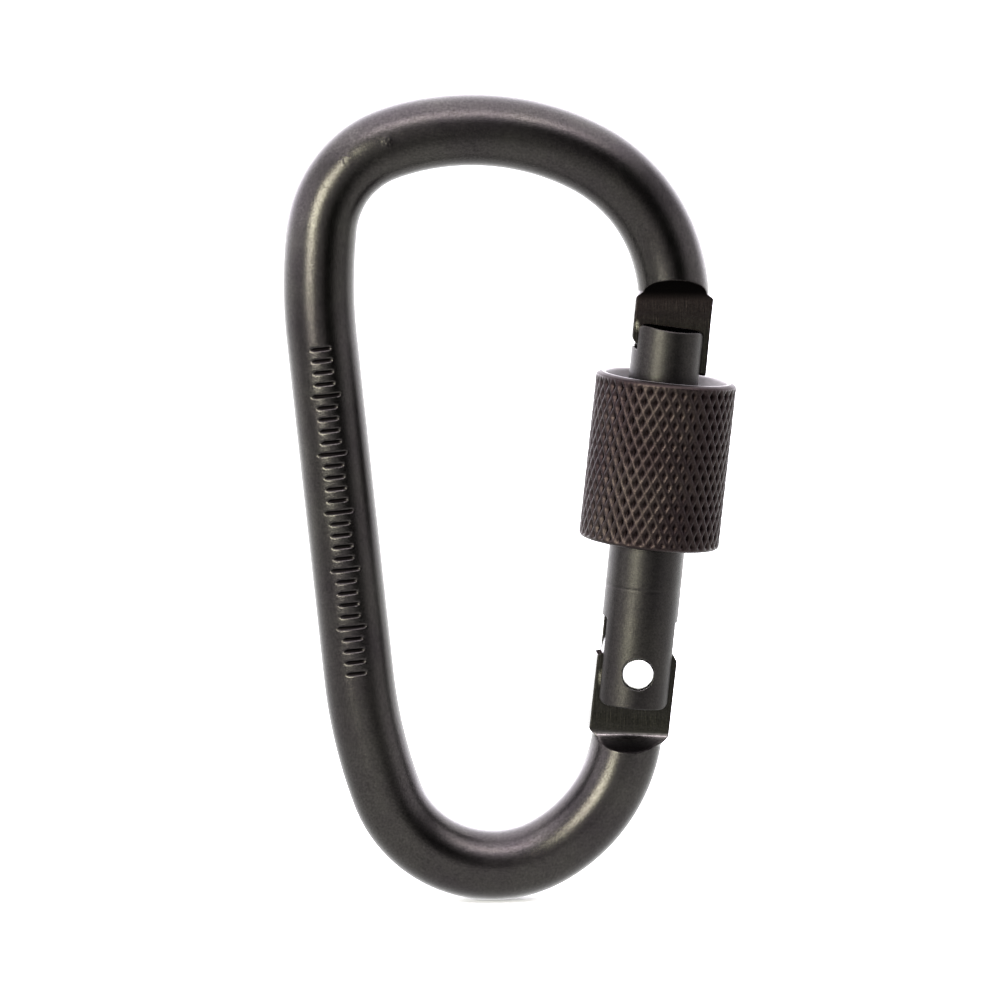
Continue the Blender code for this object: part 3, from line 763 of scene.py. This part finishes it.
MARK_COUNT, MARK_PITCH = 29, 1.15
MARK_HALF, LONG_MARK_HALF = 0.75, 1.25  # half length of a stroke, and of every fifth
MARK_DEPTH, MARK_WIDTH = 0.22, 0.17
MARK_TURN = 5  # degrees round the bar from its front, out of the loop


def stamp_marks(rings, bar):
    """A plain scale pressed into the front of the spine, every fifth stroke longer."""
    spots = sum(bar.straight) / 2 + MARK_PITCH * (np.arange(MARK_COUNT) - MARK_COUNT // 2)
    phi = angles(AROUND) - math.radians(270 + MARK_TURN)
    across = BAR_RADIUS * (np.mod(phi + math.pi, math.tau) - math.pi)
    for k in np.nonzero((bar.along > spots[0] - 1.5) & (bar.along < spots[-1] + 1.5))[0]:
        depth = np.zeros(AROUND)
        for n, spot in enumerate(spots):
            away = abs(bar.along[k] - spot)
            if away > 0.7:
                continue
            reach = LONG_MARK_HALF if n % 5 == 4 else MARK_HALF
            far = np.hypot(away, np.maximum(np.abs(across) - reach, 0.0))
            depth += MARK_DEPTH * np.exp(-((far / MARK_WIDTH) ** 4))
        out = rings[k] - np.array([bar.x[k], 0.0, bar.z[k]])
        rings[k] -= out / np.linalg.norm(out, axis=1)[:, None] * depth[:, None]


def ease(rings):
    """The bends are not true arcs: the crown stands proud, the nose's arm leans in."""
    x, z = rings[..., 0], rings[..., 2]
    lift = 0.12 * smoothstep(z, 68, 78) + 0.17 * bell(x, -12.5, 6.5) * smoothstep(z, 60, 70)
    lean = -0.17 * bell(z, 60.5, 7.0) * smoothstep(x, 8, 13)
    rings[..., 2] = z + lift
    rings[..., 0] = x + lean


def drill_rivet_hole(obj):
    cutter = bpy.data.meshes.new("rivet_hole")
    work = bmesh.new()
    radius = HOLE_RADIUS * MM
    along_y = Matrix.Rotation(math.radians(90), 4, "X")
    bmesh.ops.create_cone(
        work, cap_ends=True, segments=64, radius1=radius, radius2=radius, depth=8 * MM,
        matrix=Matrix.Translation((PIVOT[0] * MM, 0, PIVOT[1] * MM)) @ along_y,
    )
    work.to_mesh(cutter)
    work.free()
    helper = bpy.data.objects.new("rivet_hole", cutter)
    bpy.context.scene.collection.objects.link(helper)
    step = obj.modifiers.new("hole", "BOOLEAN")
    step.operation, step.solver, step.object = "DIFFERENCE", "EXACT", helper
    bpy.context.view_layer.update()
    graph = bpy.context.evaluated_depsgraph_get()
    drilled = bpy.data.meshes.new_from_object(obj.evaluated_get(graph))
    obj.modifiers.clear()
    bpy.data.objects.remove(helper, do_unlink=True)
    obj.data = drilled
    drilled.shade_smooth()
    drilled.set_sharp_from_angle(angle=math.radians(50))


def mark_body(mesh, bar):
    """Masks for the material: painted highlights on the folds, painted shade on the rough edges and
    the flats, and the stamped marks' floors with painted shade in the hollows.
    """
    places, normals = np.empty(len(mesh.vertices) * 3), np.empty(len(mesh.vertices) * 3)
    mesh.vertices.foreach_get("co", places)
    mesh.vertices.foreach_get("normal", normals)
    x, y, z = (places.reshape(-1, 3) / MM).T
    normal_x, normal_y, normal_z = normals.reshape(-1, 3).T
    side, up = world_to_gate(x, z)
    facing_side = normal_x * math.cos(TILT) - normal_z * math.sin(TILT)
    facing_up = normal_x * math.sin(TILT) + normal_z * math.cos(TILT)
    depth = np.abs(y)
    near_gate = np.abs(side) < 4.8

    nose = 1 - smoothstep(up, NOSE_FOLD_UP + 0.3, NOSE_FOLD_UP + 1.1)
    nose = np.where((up > 28) & near_gate, nose, 0.0)
    hinge = smoothstep(up, HINGE_FOLD_UP - 0.1, HINGE_FOLD_UP + 0.4)
    hinge = np.where((up < 6) & (up > -12) & near_gate, hinge, 0.0)
    plates = np.maximum(nose, hinge)

    past = past_nose_fold(side, up)
    above = np.abs(depth - ROOT_HALF - nose_shoulder(past))
    in_hollow = (np.abs(side) < 4.0) & (past > -0.6) & (past < 3.2) & (above < 0.06)
    nose_hollow_shade = np.where(in_hollow, smoothstep(past, -0.45, 1.15), 0.0)
    past = past_hinge_fold(side, up)
    above = np.abs(depth - ROOT_HALF - hinge_shoulder(past))
    in_hollow = near_gate & (past > 0) & (past < 3.2) & (above < 0.10)
    hinge_hollow_shade = np.where(in_hollow, smoothstep(past, 0.10, 1.15), 0.0)
    # painted highlight along the folds
    painted_fold_highlight = np.where(near_gate & (depth > 1.1), bell(past, -0.02, 0.13), 0.0)

    # painted shade: right-facing plate edges, the hinge end's up-facing top and the nose's hollow
    # are marked dark
    edge = plates * smoothstep(facing_side, 0.45, 0.8)
    edge = np.maximum(edge, hinge * smoothstep(facing_up, 0.5, 0.8) * (up > 0))
    edge = np.maximum(edge, nose_hollow_shade)
    flat = plates * smoothstep(np.abs(normal_y), 0.85, 0.99)

    # the floors of the stamped marks lie inside the spine's round surface
    k = int(np.argmin(np.abs(bar.along - sum(bar.straight) / 2)))
    dx, dz = x - bar.x[k], z - bar.z[k]
    from_middle = -dx * bar.out_z[k] + dz * bar.out_x[k]
    radius = np.hypot(dx * bar.out_x[k] + dz * bar.out_z[k], y)
    on_spine = (np.abs(from_middle) < SPINE / 2 + 1) & (radius < BAR_RADIUS + 0.5)
    marks_and_hollow_shade = np.where(on_spine, np.clip((BAR_RADIUS - 0.015 - radius) / 0.09, 0, 1), 0.0)
    # painted shade: the shoulders' hollows join the marks' floors
    marks_and_hollow_shade = np.maximum(np.maximum(marks_and_hollow_shade, nose_hollow_shade), 0.92 * hinge_hollow_shade)

    add_attribute(mesh, "painted_fold_highlight", painted_fold_highlight)
    add_attribute(mesh, "edge", edge)
    add_attribute(mesh, "flat", flat)
    add_attribute(mesh, "marks_and_hollow_shade", marks_and_hollow_shade)


def build_body():
    bar = bar_line()
    add_plate_sizes(bar)
    rings = body_rings(bar)
    stamp_marks(rings, bar)
    ease(rings)
    obj = make(
        "body_visual", *loft(rings),
        material=BODY_METAL, body="frame", node="carabiner_body", slot="body_anodised",
    )
    drill_rivet_hole(obj)
    mark_body(obj.data, bar)


# ---- gate --------------------------------------------------------------------------

GATE_LOW, GATE_HIGH = -3.5, 34.3
COLLAR_RADIUS, GATE_RADIUS, COLLAR_UP = 3.75, 3.55, 12.4  # wider below COLLAR_UP
GATE_ROUND, EAR_ROUND = 0.09, 0.95  # of the turned ends, and of the ears seen from the front
HIGH_EAR_SIDE, LOW_EAR_SIDE = 3.30, 3.52
SLOT_HALF, HINGE_SLOT_UP, NOSE_SLOT_UP, SLOT_GAP = 1.5, 5.1, 28.5, 0.06
THREAD_RADIUS, THREAD_UP = 3.95, (13.4, 26.8)
BORE_RADIUS, BORE_UP = 1.4, (3.6, 14.2)  # the spring's bore
CUT_BLEND = 0.10


def round_corner(a, b, radius):
    return np.hypot(np.maximum(a, 0.0), np.maximum(b, 0.0)) - radius


def gate_field(side, y, up):
    """Roughly the distance outside the gate's surface."""
    axis_away = np.hypot(side, y)
    radius = COLLAR_RADIUS + (GATE_RADIUS - COLLAR_RADIUS) * smoothstep(
        up, COLLAR_UP - 0.05, COLLAR_UP + 0.22
    )
    radius = radius - 0.022 * bell(up, 8.28, 0.12)  # a fine groove round the collar
    # thread: a trapezoid ridge that runs out at both ends
    first, last = THREAD_UP
    ridge = np.clip((0.56 - off_thread(up, np.arctan2(y, side), first)) / 0.40, 0.0, 1.0)
    fade = smoothstep(up, first - 0.2, first + 0.9) * (1 - smoothstep(up, last - 0.9, last + 0.2))
    radius = radius + (THREAD_RADIUS - GATE_RADIUS) * ridge * fade
    # turned body; its top end falls away towards the front, the back and the right
    middle, reach = (GATE_LOW + GATE_HIGH) / 2, (GATE_HIGH - GATE_LOW) / 2
    fall = 0.15 * np.maximum(np.abs(y) - SLOT_HALF, 0.0) + 0.045 * side
    end_away = np.abs(up + np.where(up > 30.0, fall, 0.0) - middle)
    a, b = axis_away - (radius - GATE_ROUND), end_away - (reach - GATE_ROUND)
    field = np.minimum(np.maximum(a, b), 0.0) + round_corner(a, b, GATE_ROUND)
    # the ears' rounded corners
    ear_side = np.where(up > middle, HIGH_EAR_SIDE, LOW_EAR_SIDE)
    a, b = np.abs(side) - (ear_side - EAR_ROUND), end_away - (reach - EAR_ROUND)
    corner = np.where((a > 0) & (b > 0), round_corner(a, b, EAR_ROUND), -1.0)
    field = smooth_max(field, corner, 0.12)
    # slot for the hinge end
    wall = np.abs(y) - SLOT_HALF
    field = smooth_max(field, -smooth_max(wall, up - HINGE_SLOT_UP, 0.3), CUT_BLEND)
    # slot for the nose, its sloping floor follows the nose's bevel
    (side0, up0), (side1, up1) = NOSE_BEVEL
    length = math.hypot(side1 - side0, up1 - up0)
    run, rise = (side1 - side0) / length, (up1 - up0) / length
    slope = (side - (side0 - rise * SLOT_GAP)) * -rise + (up - (up0 + run * SLOT_GAP)) * run
    floor = smooth_max(NOSE_SLOT_UP - up, slope, 0.5)
    field = smooth_max(field, -smooth_max(wall, floor, 0.3), CUT_BLEND)
    # spring bore and rivet hole
    bore = np.maximum(np.maximum(axis_away - BORE_RADIUS, up - BORE_UP[1]), BORE_UP[0] - up)
    field = smooth_max(field, -bore, 0.12)
    return smooth_max(field, HOLE_RADIUS - np.hypot(side, up), 0.14)


def build_gate():
    points, quads, normals = iso_mesh(
        gate_field, low=(-4.3, -4.3, -3.9), high=(4.3, 4.3, 34.6), step=0.12
    )
    world_points = gate_to_world(points, GATE_TILT)
    obj = make(
        "gate_visual", world_points, [quads],
        material=GATE_METAL, body="gate_body", node="gate", slot="gate_anodised",
        normals=gate_to_world(points + normals, GATE_TILT) - world_points,
    )
    # painted shade: the top end's up-facing faces are marked to be painted near black
    at_top = points[:, 2] > GATE_HIGH - 1.4
    add_attribute(obj.data, "end", np.where(at_top, smoothstep(normals[:, 2], 0.80, 0.93), 0.0))


# ---- sleeve ------------------------------------------------------------------------

SLEEVE_LOW, SLEEVE_HIGH = 12.7, 29.2
SLEEVE_RADIUS, SLEEVE_BORE_RADIUS = 6.95, 4.2
MOUTH_RADIUS, MOUTH_DEEP_RADIUS, MOUTH_DEPTH = 6.05, 5.4, 4.2
RIM = 0.36
KNURL_AROUND, KNURL_TALL = 40, 2.0  # cells round the sleeve, height of a cell
PIT_DEPTH = 0.312
# (radius, up from the low end), from the outside in
LOW_RIM = (
    (6.90, 0.27), (6.82, 0.16), (6.70, 0.07), (6.52, 0.02), (6.2, 0.0), (5.6, 0.0),
    (5.0, 0.0), (4.62, 0.0), (4.5, 0.03), (4.36, 0.12), (4.24, 0.28),
)
# (radius, up from the mouth's floor), from the bore out
MOUTH_FLOOR = ((4.2, -0.85), (4.26, -0.72), (4.6, -0.5), (5.0, -0.24), (5.3, -0.06), (5.4, 0.1))
# (radius, down from the high end), from the mouth out; the last rows belong to the outside
HIGH_RIM = (
    (6.02, 0.18), (6.06, 0.07), (6.13, 0.015), (6.2, 0.0), (6.3, 0.0),
    (6.42, 0.02), (6.56, 0.06), (6.72, 0.13), (6.83, 0.21), (6.90, 0.29),
)
OUTSIDE_ROWS = 5


def knurl(theta, up):
    """Depth of the knurl in millimetres, and its painted shade for the material."""

    def off_ridge(phase):
        return 2 * np.abs(phase - np.round(phase))  # 0 on a ridge line, 1 half way

    # two crossing families of ridges; the cells between them are pressed in to a point
    lean = (SLEEVE_HIGH - up) / KNURL_TALL
    one = KNURL_AROUND * theta / math.tau + lean
    two = KNURL_AROUND * theta / math.tau - lean
    off_one, off_two = off_ridge(one), off_ridge(two)
    pit = np.clip((np.minimum(off_one, off_two) - 0.08) / 0.84, 0, 1) * PIT_DEPTH
    # the second family of ridges is cut through by the first
    pit += 0.045 * np.clip(1 - off_one / 0.3, 0, 1) * np.clip(off_two / 0.3, 0, 1)
    to_rim = np.minimum(SLEEVE_HIGH - RIM - up, up - SLEEVE_LOW - RIM)
    pit = pit * np.clip(to_rim / 0.30 + 0.1, 0.0, 1.0)
    # painted shade: deeper is darker, and one half of each cell darker than the other, as the side
    # turned from the light
    place_in_cell = (one - np.floor(one)) + (two - np.floor(two)) - 1.0
    return pit, pit / PIT_DEPTH * (0.50 + 0.50 * smoothstep(place_in_cell, -0.35, 0.25))


def build_sleeve():
    columns = KNURL_AROUND * 10
    low, high = SLEEVE_LOW, SLEEVE_HIGH
    floor = high - MOUTH_DEPTH
    # down the outside, under the low end, up the bore and mouth, and over the high end
    band = np.arange(high - RIM, low + RIM - 1e-9, -(high - low - 2 * RIM) / 76)
    bore = np.arange(low + 0.5, floor - 1.0, 0.19)
    widening = (MOUTH_RADIUS - MOUTH_DEEP_RADIUS) / MOUTH_DEPTH
    profile = [(SLEEVE_RADIUS, up) for up in band]
    profile += [(radius, low + rise) for radius, rise in LOW_RIM]
    bore_start = len(profile)
    profile += [(SLEEVE_BORE_RADIUS, up) for up in bore]
    bore_end = len(profile)
    profile += [(radius, floor + rise) for radius, rise in MOUTH_FLOOR]
    profile += [
        (MOUTH_DEEP_RADIUS + widening * (up - floor), up)
        for up in np.linspace(floor + 0.5, high - 0.35, 9)
    ]
    profile += [(radius, high - drop) for radius, drop in HIGH_RIM]

    profile = np.array(profile)
    theta = angles(columns)
    radius = np.repeat(profile[:, :1], columns, 1)
    up = np.repeat(profile[:, 1:2], columns, 1)
    pit = np.zeros(radius.shape)
    depth, pit[: len(band)] = knurl(theta, up[: len(band)])
    # painted shade on the outer rows of the high rim
    pit[-OUTSIDE_ROWS:] = 0.40
    radius[: len(band)] -= depth
    # shallow helical groove in the bore, outside the gate's thread
    inner = up[bore_start:bore_end]
    fade = smoothstep(inner, low + 0.6, low + 1.6)
    fade = fade * (1 - smoothstep(inner, floor - 2.2, floor - 1.2))
    groove = np.clip((0.5 - off_thread(inner, theta)) / 0.36, 0, 1)
    radius[bore_start:bore_end] += 0.22 * groove * fade

    points = np.stack([radius * np.cos(theta), radius * np.sin(theta), up], -1)
    obj = make(
        "sleeve_visual", gate_to_world(points.reshape(-1, 3), SLEEVE_TILT),
        [ring_faces(len(profile), columns, wrap_rows=True)],
        material=SLEEVE_METAL, body="sleeve_body", node="locking_sleeve",
        slot="sleeve_anodised",
    )
    # painted light: the mouth's rows are marked for a pale colour
    painted_light_mouth = np.zeros(len(profile))
    painted_light_mouth[bore_end:-OUTSIDE_ROWS] = 1.0
    add_attribute(obj.data, "painted_light_mouth", np.repeat(painted_light_mouth, columns))
    add_attribute(obj.data, "pit", pit.reshape(-1))


# ---- rivet, follower, spring -------------------------------------------------------

RIVET_RADIUS, RIVET_OUT = 1.5, 3.88  # out is the reach to front and back
RIVET_SPREAD = 1.58  # the most a hammered head may spread
# (radius, drop from the top of the head)
RIVET_HEAD = (
    (0.04, 0.0), (0.35, 0.004), (0.65, 0.018), (0.9, 0.045), (1.1, 0.085), (1.26, 0.14),
    (1.37, 0.20), (1.45, 0.28), (1.49, 0.38), (RIVET_RADIUS, 0.5),
)


def hammer_heads(radius, out, theta):
    """The heads' rims are squeezed out unevenly and their faces are dimpled."""
    near = smoothstep(np.abs(out), RIVET_OUT - 0.7, RIVET_OUT - 0.1)
    lobe = 0.030 * np.sin(2 * theta + 0.6) + 0.022 * np.sin(5 * theta + 1.9)
    lobe = lobe + 0.014 * np.sin(11 * theta)
    flat = 0.05 * bell(np.mod(theta - 3.9 + math.pi, math.tau) - math.pi, 0.0, 0.4)
    spread = radius + near * smoothstep(radius, 0.9, 1.45) * (lobe - flat)
    dent = 0.012 * np.sin(3.1 * radius * np.cos(theta) + 1.0)
    dent = dent * np.sin(4.3 * radius * np.sin(theta) + 0.4)
    on_face = smoothstep(np.abs(out), RIVET_OUT - 0.3, RIVET_OUT - 0.02)
    return np.minimum(spread, RIVET_SPREAD), out - np.sign(out) * np.abs(dent) * on_face


def build_rivet():
    front = [(radius, RIVET_OUT - drop) for radius, drop in RIVET_HEAD]
    shank = np.linspace(RIVET_OUT - 0.8, -RIVET_OUT + 0.8, 14)
    back = [(radius, -out) for radius, out in front[::-1]]

    def place(points):
        """The lathe's axis is laid along Y, its positive end to the front."""
        x, y, out = points[..., 0], points[..., 1], points[..., 2]
        return np.stack([PIVOT[0] + x, -out, PIVOT[1] + y], -1)

    lathe(
        "rivet_visual", front + [(RIVET_RADIUS, out) for out in shank] + back, 96, place,
        hammer_heads,
        material=RIVET_METAL, body="frame", node="hinge_rivet", slot="rivet_bare",
    )


FOLLOWER_TIP, FOLLOWER_TOP = 3.85, 9.4
HEAD_LOW, HEAD_HIGH = 6.5, 7.4  # the follower's wide head
STEM_RADIUS = 0.75  # below the head
TIP_HEIGHT = 0.62


def build_follower():
    tip, low, high, top = FOLLOWER_TIP, HEAD_LOW, HEAD_HIGH, FOLLOWER_TOP
    profile = [
        (0.02, top), (0.30, top), (0.38, top - 0.02), (0.46, top - 0.07),
        (0.53, top - 0.17), (0.55, top - 0.3),
        (0.55, high + 0.12), (0.57, high + 0.04), (0.62, high),
        (1.1, high), (1.16, high - 0.03), (1.2, high - 0.1),
        (1.2, low + 0.1), (1.16, low + 0.02), (1.1, low),
        (0.82, low - 0.06), (STEM_RADIUS, low - 0.16),
    ]
    profile += [(STEM_RADIUS, up) for up in np.linspace(low - 0.5, tip + 0.75, 7)]
    for degrees in (82, 70, 58, 46, 34, 22, 10, 2):
        angle = math.radians(degrees)
        up = tip + TIP_HEIGHT - TIP_HEIGHT * math.cos(angle)
        profile.append((STEM_RADIUS * math.sin(angle), up))
    lathe(
        "follower_visual", profile, 64, gate_to_world,
        material=BRASS, body="follower_body", node="cam_follower", slot="follower_brass",
    )


WIRE_RADIUS, COIL_RADIUS, COIL_TURNS = 0.18, 1.05, 7
SPRING_LOW, SPRING_HIGH = 7.75, 13.95
PER_TURN, WIRE_AROUND = 48, 16


def build_spring():
    count = COIL_TURNS * PER_TURN
    low, high = SPRING_LOW + WIRE_RADIUS, SPRING_HIGH - WIRE_RADIUS
    # the end turns lie closed, and the pitch opens gradually between them
    near_end = np.minimum(np.arange(count), np.arange(count)[::-1]) < 0.95 * PER_TURN
    padded = np.pad(near_end.astype(float), 8, mode="edge")
    closed = np.convolve(padded, np.ones(17) / 17, mode="valid")
    closed_rise = 2.06 * WIRE_RADIUS / PER_TURN
    open_rise = (high - low - (closed * closed_rise).sum()) / (1 - closed).sum()
    lift = np.cumsum(closed * closed_rise + (1 - closed) * open_rise)
    lift = np.concatenate([[0.0], lift])
    angle = math.tau * np.arange(count + 1) / PER_TURN
    out = np.stack([np.cos(angle), np.sin(angle), 0 * angle], -1)
    centre = np.stack([COIL_RADIUS * out[:, 0], COIL_RADIUS * out[:, 1], low + lift], -1)
    tangent = np.gradient(centre, axis=0)
    tangent /= np.linalg.norm(tangent, axis=1)[:, None]
    across = np.cross(tangent, out)
    across /= np.linalg.norm(across, axis=1)[:, None]
    phi = angles(WIRE_AROUND)[None, :, None]
    rings = centre[:, None] + WIRE_RADIUS * (
        np.cos(phi) * out[:, None] + np.sin(phi) * across[:, None]
    )
    obj = make(
        "spring_visual", *loft(gate_to_world(rings)),
        material=SPRING_METAL, body="gate_body", node="return_spring", slot="spring_steel",
    )
    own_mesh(obj)


build_body()
build_gate()
build_sleeve()
build_rivet()
build_follower()
build_spring()

# ---- floor, world, lights, camera; metres from here on -----------------------------

scene = bpy.context.scene
scene.view_settings.view_transform = "Standard"


def mirrored_paper(net):
    """The floor's brightness in reflections, by place on the floor."""
    x, y, _ = net.split(net.node("ShaderNodeNewGeometry").outputs["Position"])
    reach = net.math("SQRT", net.add(net.times(x, x), net.times(y, y)))
    # sine of the direction from the middle: -1 is left, 1 is right
    bearing = net.math("DIVIDE", x, net.math("MAXIMUM", reach, 0.001))
    in_front = net.span(y, over=(0.05, -0.05))
    # in front: bright on the left and far right, dark between, with a glare far out left
    left = net.span(bearing, over=(-0.02, 0.17), to=(1.25, 0.02), smooth=True)
    right = net.span(bearing, over=(0.52, 0.90), to=(0.0, 1.3), smooth=True)
    off_glare = net.math("ABSOLUTE", net.add(bearing, 0.56))
    glare = net.times(
        net.span(off_glare, over=(0.24, 0.08), to=(0.0, 8.0), smooth=True),
        net.span(reach, over=(0.30, 0.72), smooth=True),
    )
    front = net.times(net.add(net.add(left, right), glare), in_front)
    far = net.add(front, net.span(y, over=(-0.05, 0.05), to=(0.0, 2.8)))
    # even brightness close to the object
    near = net.span(reach, over=(0.22, 0.02), smooth=True)
    return net.add(net.times(far, net.math("SUBTRACT", 1.0, near)), net.times(near, 1.9))


def floor_material():
    """Pale paper that the metals see with its own brightness."""
    paper = bpy.data.materials.new("pale_floor")
    paper.use_nodes = True
    net = Net(paper.node_tree)
    shader = paper.node_tree.nodes["Principled BSDF"]
    shader.inputs["Base Color"].default_value = (0.80, 0.80, 0.80, 1.0)
    shader.inputs["Roughness"].default_value = 1.0
    shader.inputs["Specular IOR Level"].default_value = 0.0
    shader.inputs["Emission Color"].default_value = (1.0, 1.0, 1.0, 1.0)
    shader.inputs["Emission Strength"].default_value = 0.30
    mirrored = net.node("ShaderNodeEmission")
    net.put(mirrored_paper(net), mirrored.inputs["Strength"])
    either = net.node("ShaderNodeMixShader")
    net.put(net.node("ShaderNodeLightPath").outputs["Is Glossy Ray"], either.inputs[0])
    net.put(shader.outputs[0], either.inputs[1])
    net.put(mirrored.outputs[0], either.inputs[2])
    net.put(either.outputs[0], paper.node_tree.nodes["Material Output"].inputs["Surface"])
    return paper


def build_floor():
    mesh = bpy.data.meshes.new("floor")
    mesh.from_pydata([(-3, -3, 0), (3, -3, 0), (3, 3, 0), (-3, 3, 0)], [], [(0, 1, 2, 3)])
    floor = bpy.data.objects.new("floor", mesh)
    scene.collection.objects.link(floor)
    floor.location.z = -0.00002
    mesh.materials.append(floor_material())


def build_world():
    """A studio seen in the metals, and an even pale ground seen by the camera."""
    world = bpy.data.worlds.new("studio")
    scene.world = world
    world.use_nodes = True
    net = Net(world.node_tree)
    background = world.node_tree.nodes["Background"]
    x, y, z = net.split(net.node("ShaderNodeTexCoord").outputs["Generated"])
    behind = net.span(y, over=(0.02, 0.55), to=(0.0, 5.0), smooth=True)
    above = net.span(z, over=(0.50, 0.80), to=(0.0, 5.2), smooth=True)
    # the sides fade upwards
    left = net.times(
        net.span(x, over=(-0.58, -0.95), to=(0.0, 3.4), smooth=True),
        net.span(z, over=(0.9, 0.3)),
    )
    right = net.times(
        net.span(x, over=(0.58, 0.94), to=(0.0, 2.3), smooth=True),
        net.span(z, over=(0.9, 0.3)),
    )
    base = net.span(x, over=(-0.02, 0.18), to=(1.15, 0.03), smooth=True)
    walls = net.math("MAXIMUM", behind, above)
    level = net.add(net.math("MAXIMUM", walls, net.math("MAXIMUM", left, right)), base)
    seen = net.node("ShaderNodeMix", data_type="FLOAT")
    net.put(net.node("ShaderNodeLightPath").outputs["Is Camera Ray"], seen.inputs[0])
    net.put(level, seen.inputs[2])
    seen.inputs[3].default_value = 1.05
    net.put(seen.outputs[0], background.inputs["Strength"])
    background.inputs["Color"].default_value = (0.985, 0.95, 1.03, 1.0)


def aim(obj, target, azimuth, elevation, distance):
    """Places obj looking at target. Azimuth 0 is the front, positive to the right."""
    turn, rise = math.radians(azimuth), math.radians(elevation)
    flat = math.cos(rise)
    way = Vector((math.sin(turn) * flat, -math.cos(turn) * flat, math.sin(rise)))
    obj.location = Vector(target) + way * distance
    obj.rotation_euler = way.to_track_quat("Z", "Y").to_euler()
    scene.collection.objects.link(obj)


def area_light(name, *, azimuth, elevation, distance, size, power, colour):
    """A soft box aimed at the middle of the object."""
    data = bpy.data.lights.new(name, "AREA")
    data.shape = "RECTANGLE"
    data.size, data.size_y = size
    data.energy = power
    data.color = colour
    aim(bpy.data.objects.new(name, data), (0, 0, 0.04), azimuth, elevation, distance)


def build_camera():
    distance, view_width, sensor_width = 0.560, 0.0984, 36.0
    data = bpy.data.cameras.new("camera")
    data.sensor_width = sensor_width
    data.lens = distance / view_width * sensor_width
    data.clip_start = 0.01
    camera = bpy.data.objects.new("camera", data)
    target = (-0.001017, 0.0, 0.04002)
    aim(camera, target, azimuth=-4.1, elevation=7.8, distance=distance)
    scene.camera = camera


build_floor()
build_world()
area_light(
    "key", azimuth=-34, elevation=11, distance=0.8,
    size=(0.25, 0.36), power=9.0, colour=(0.98, 1.0, 0.80),
)
area_light(
    "overhead_strip", azimuth=3, elevation=57, distance=0.9,
    size=(0.9, 0.11), power=4.2, colour=(1.0, 0.93, 0.95),
)
build_camera()
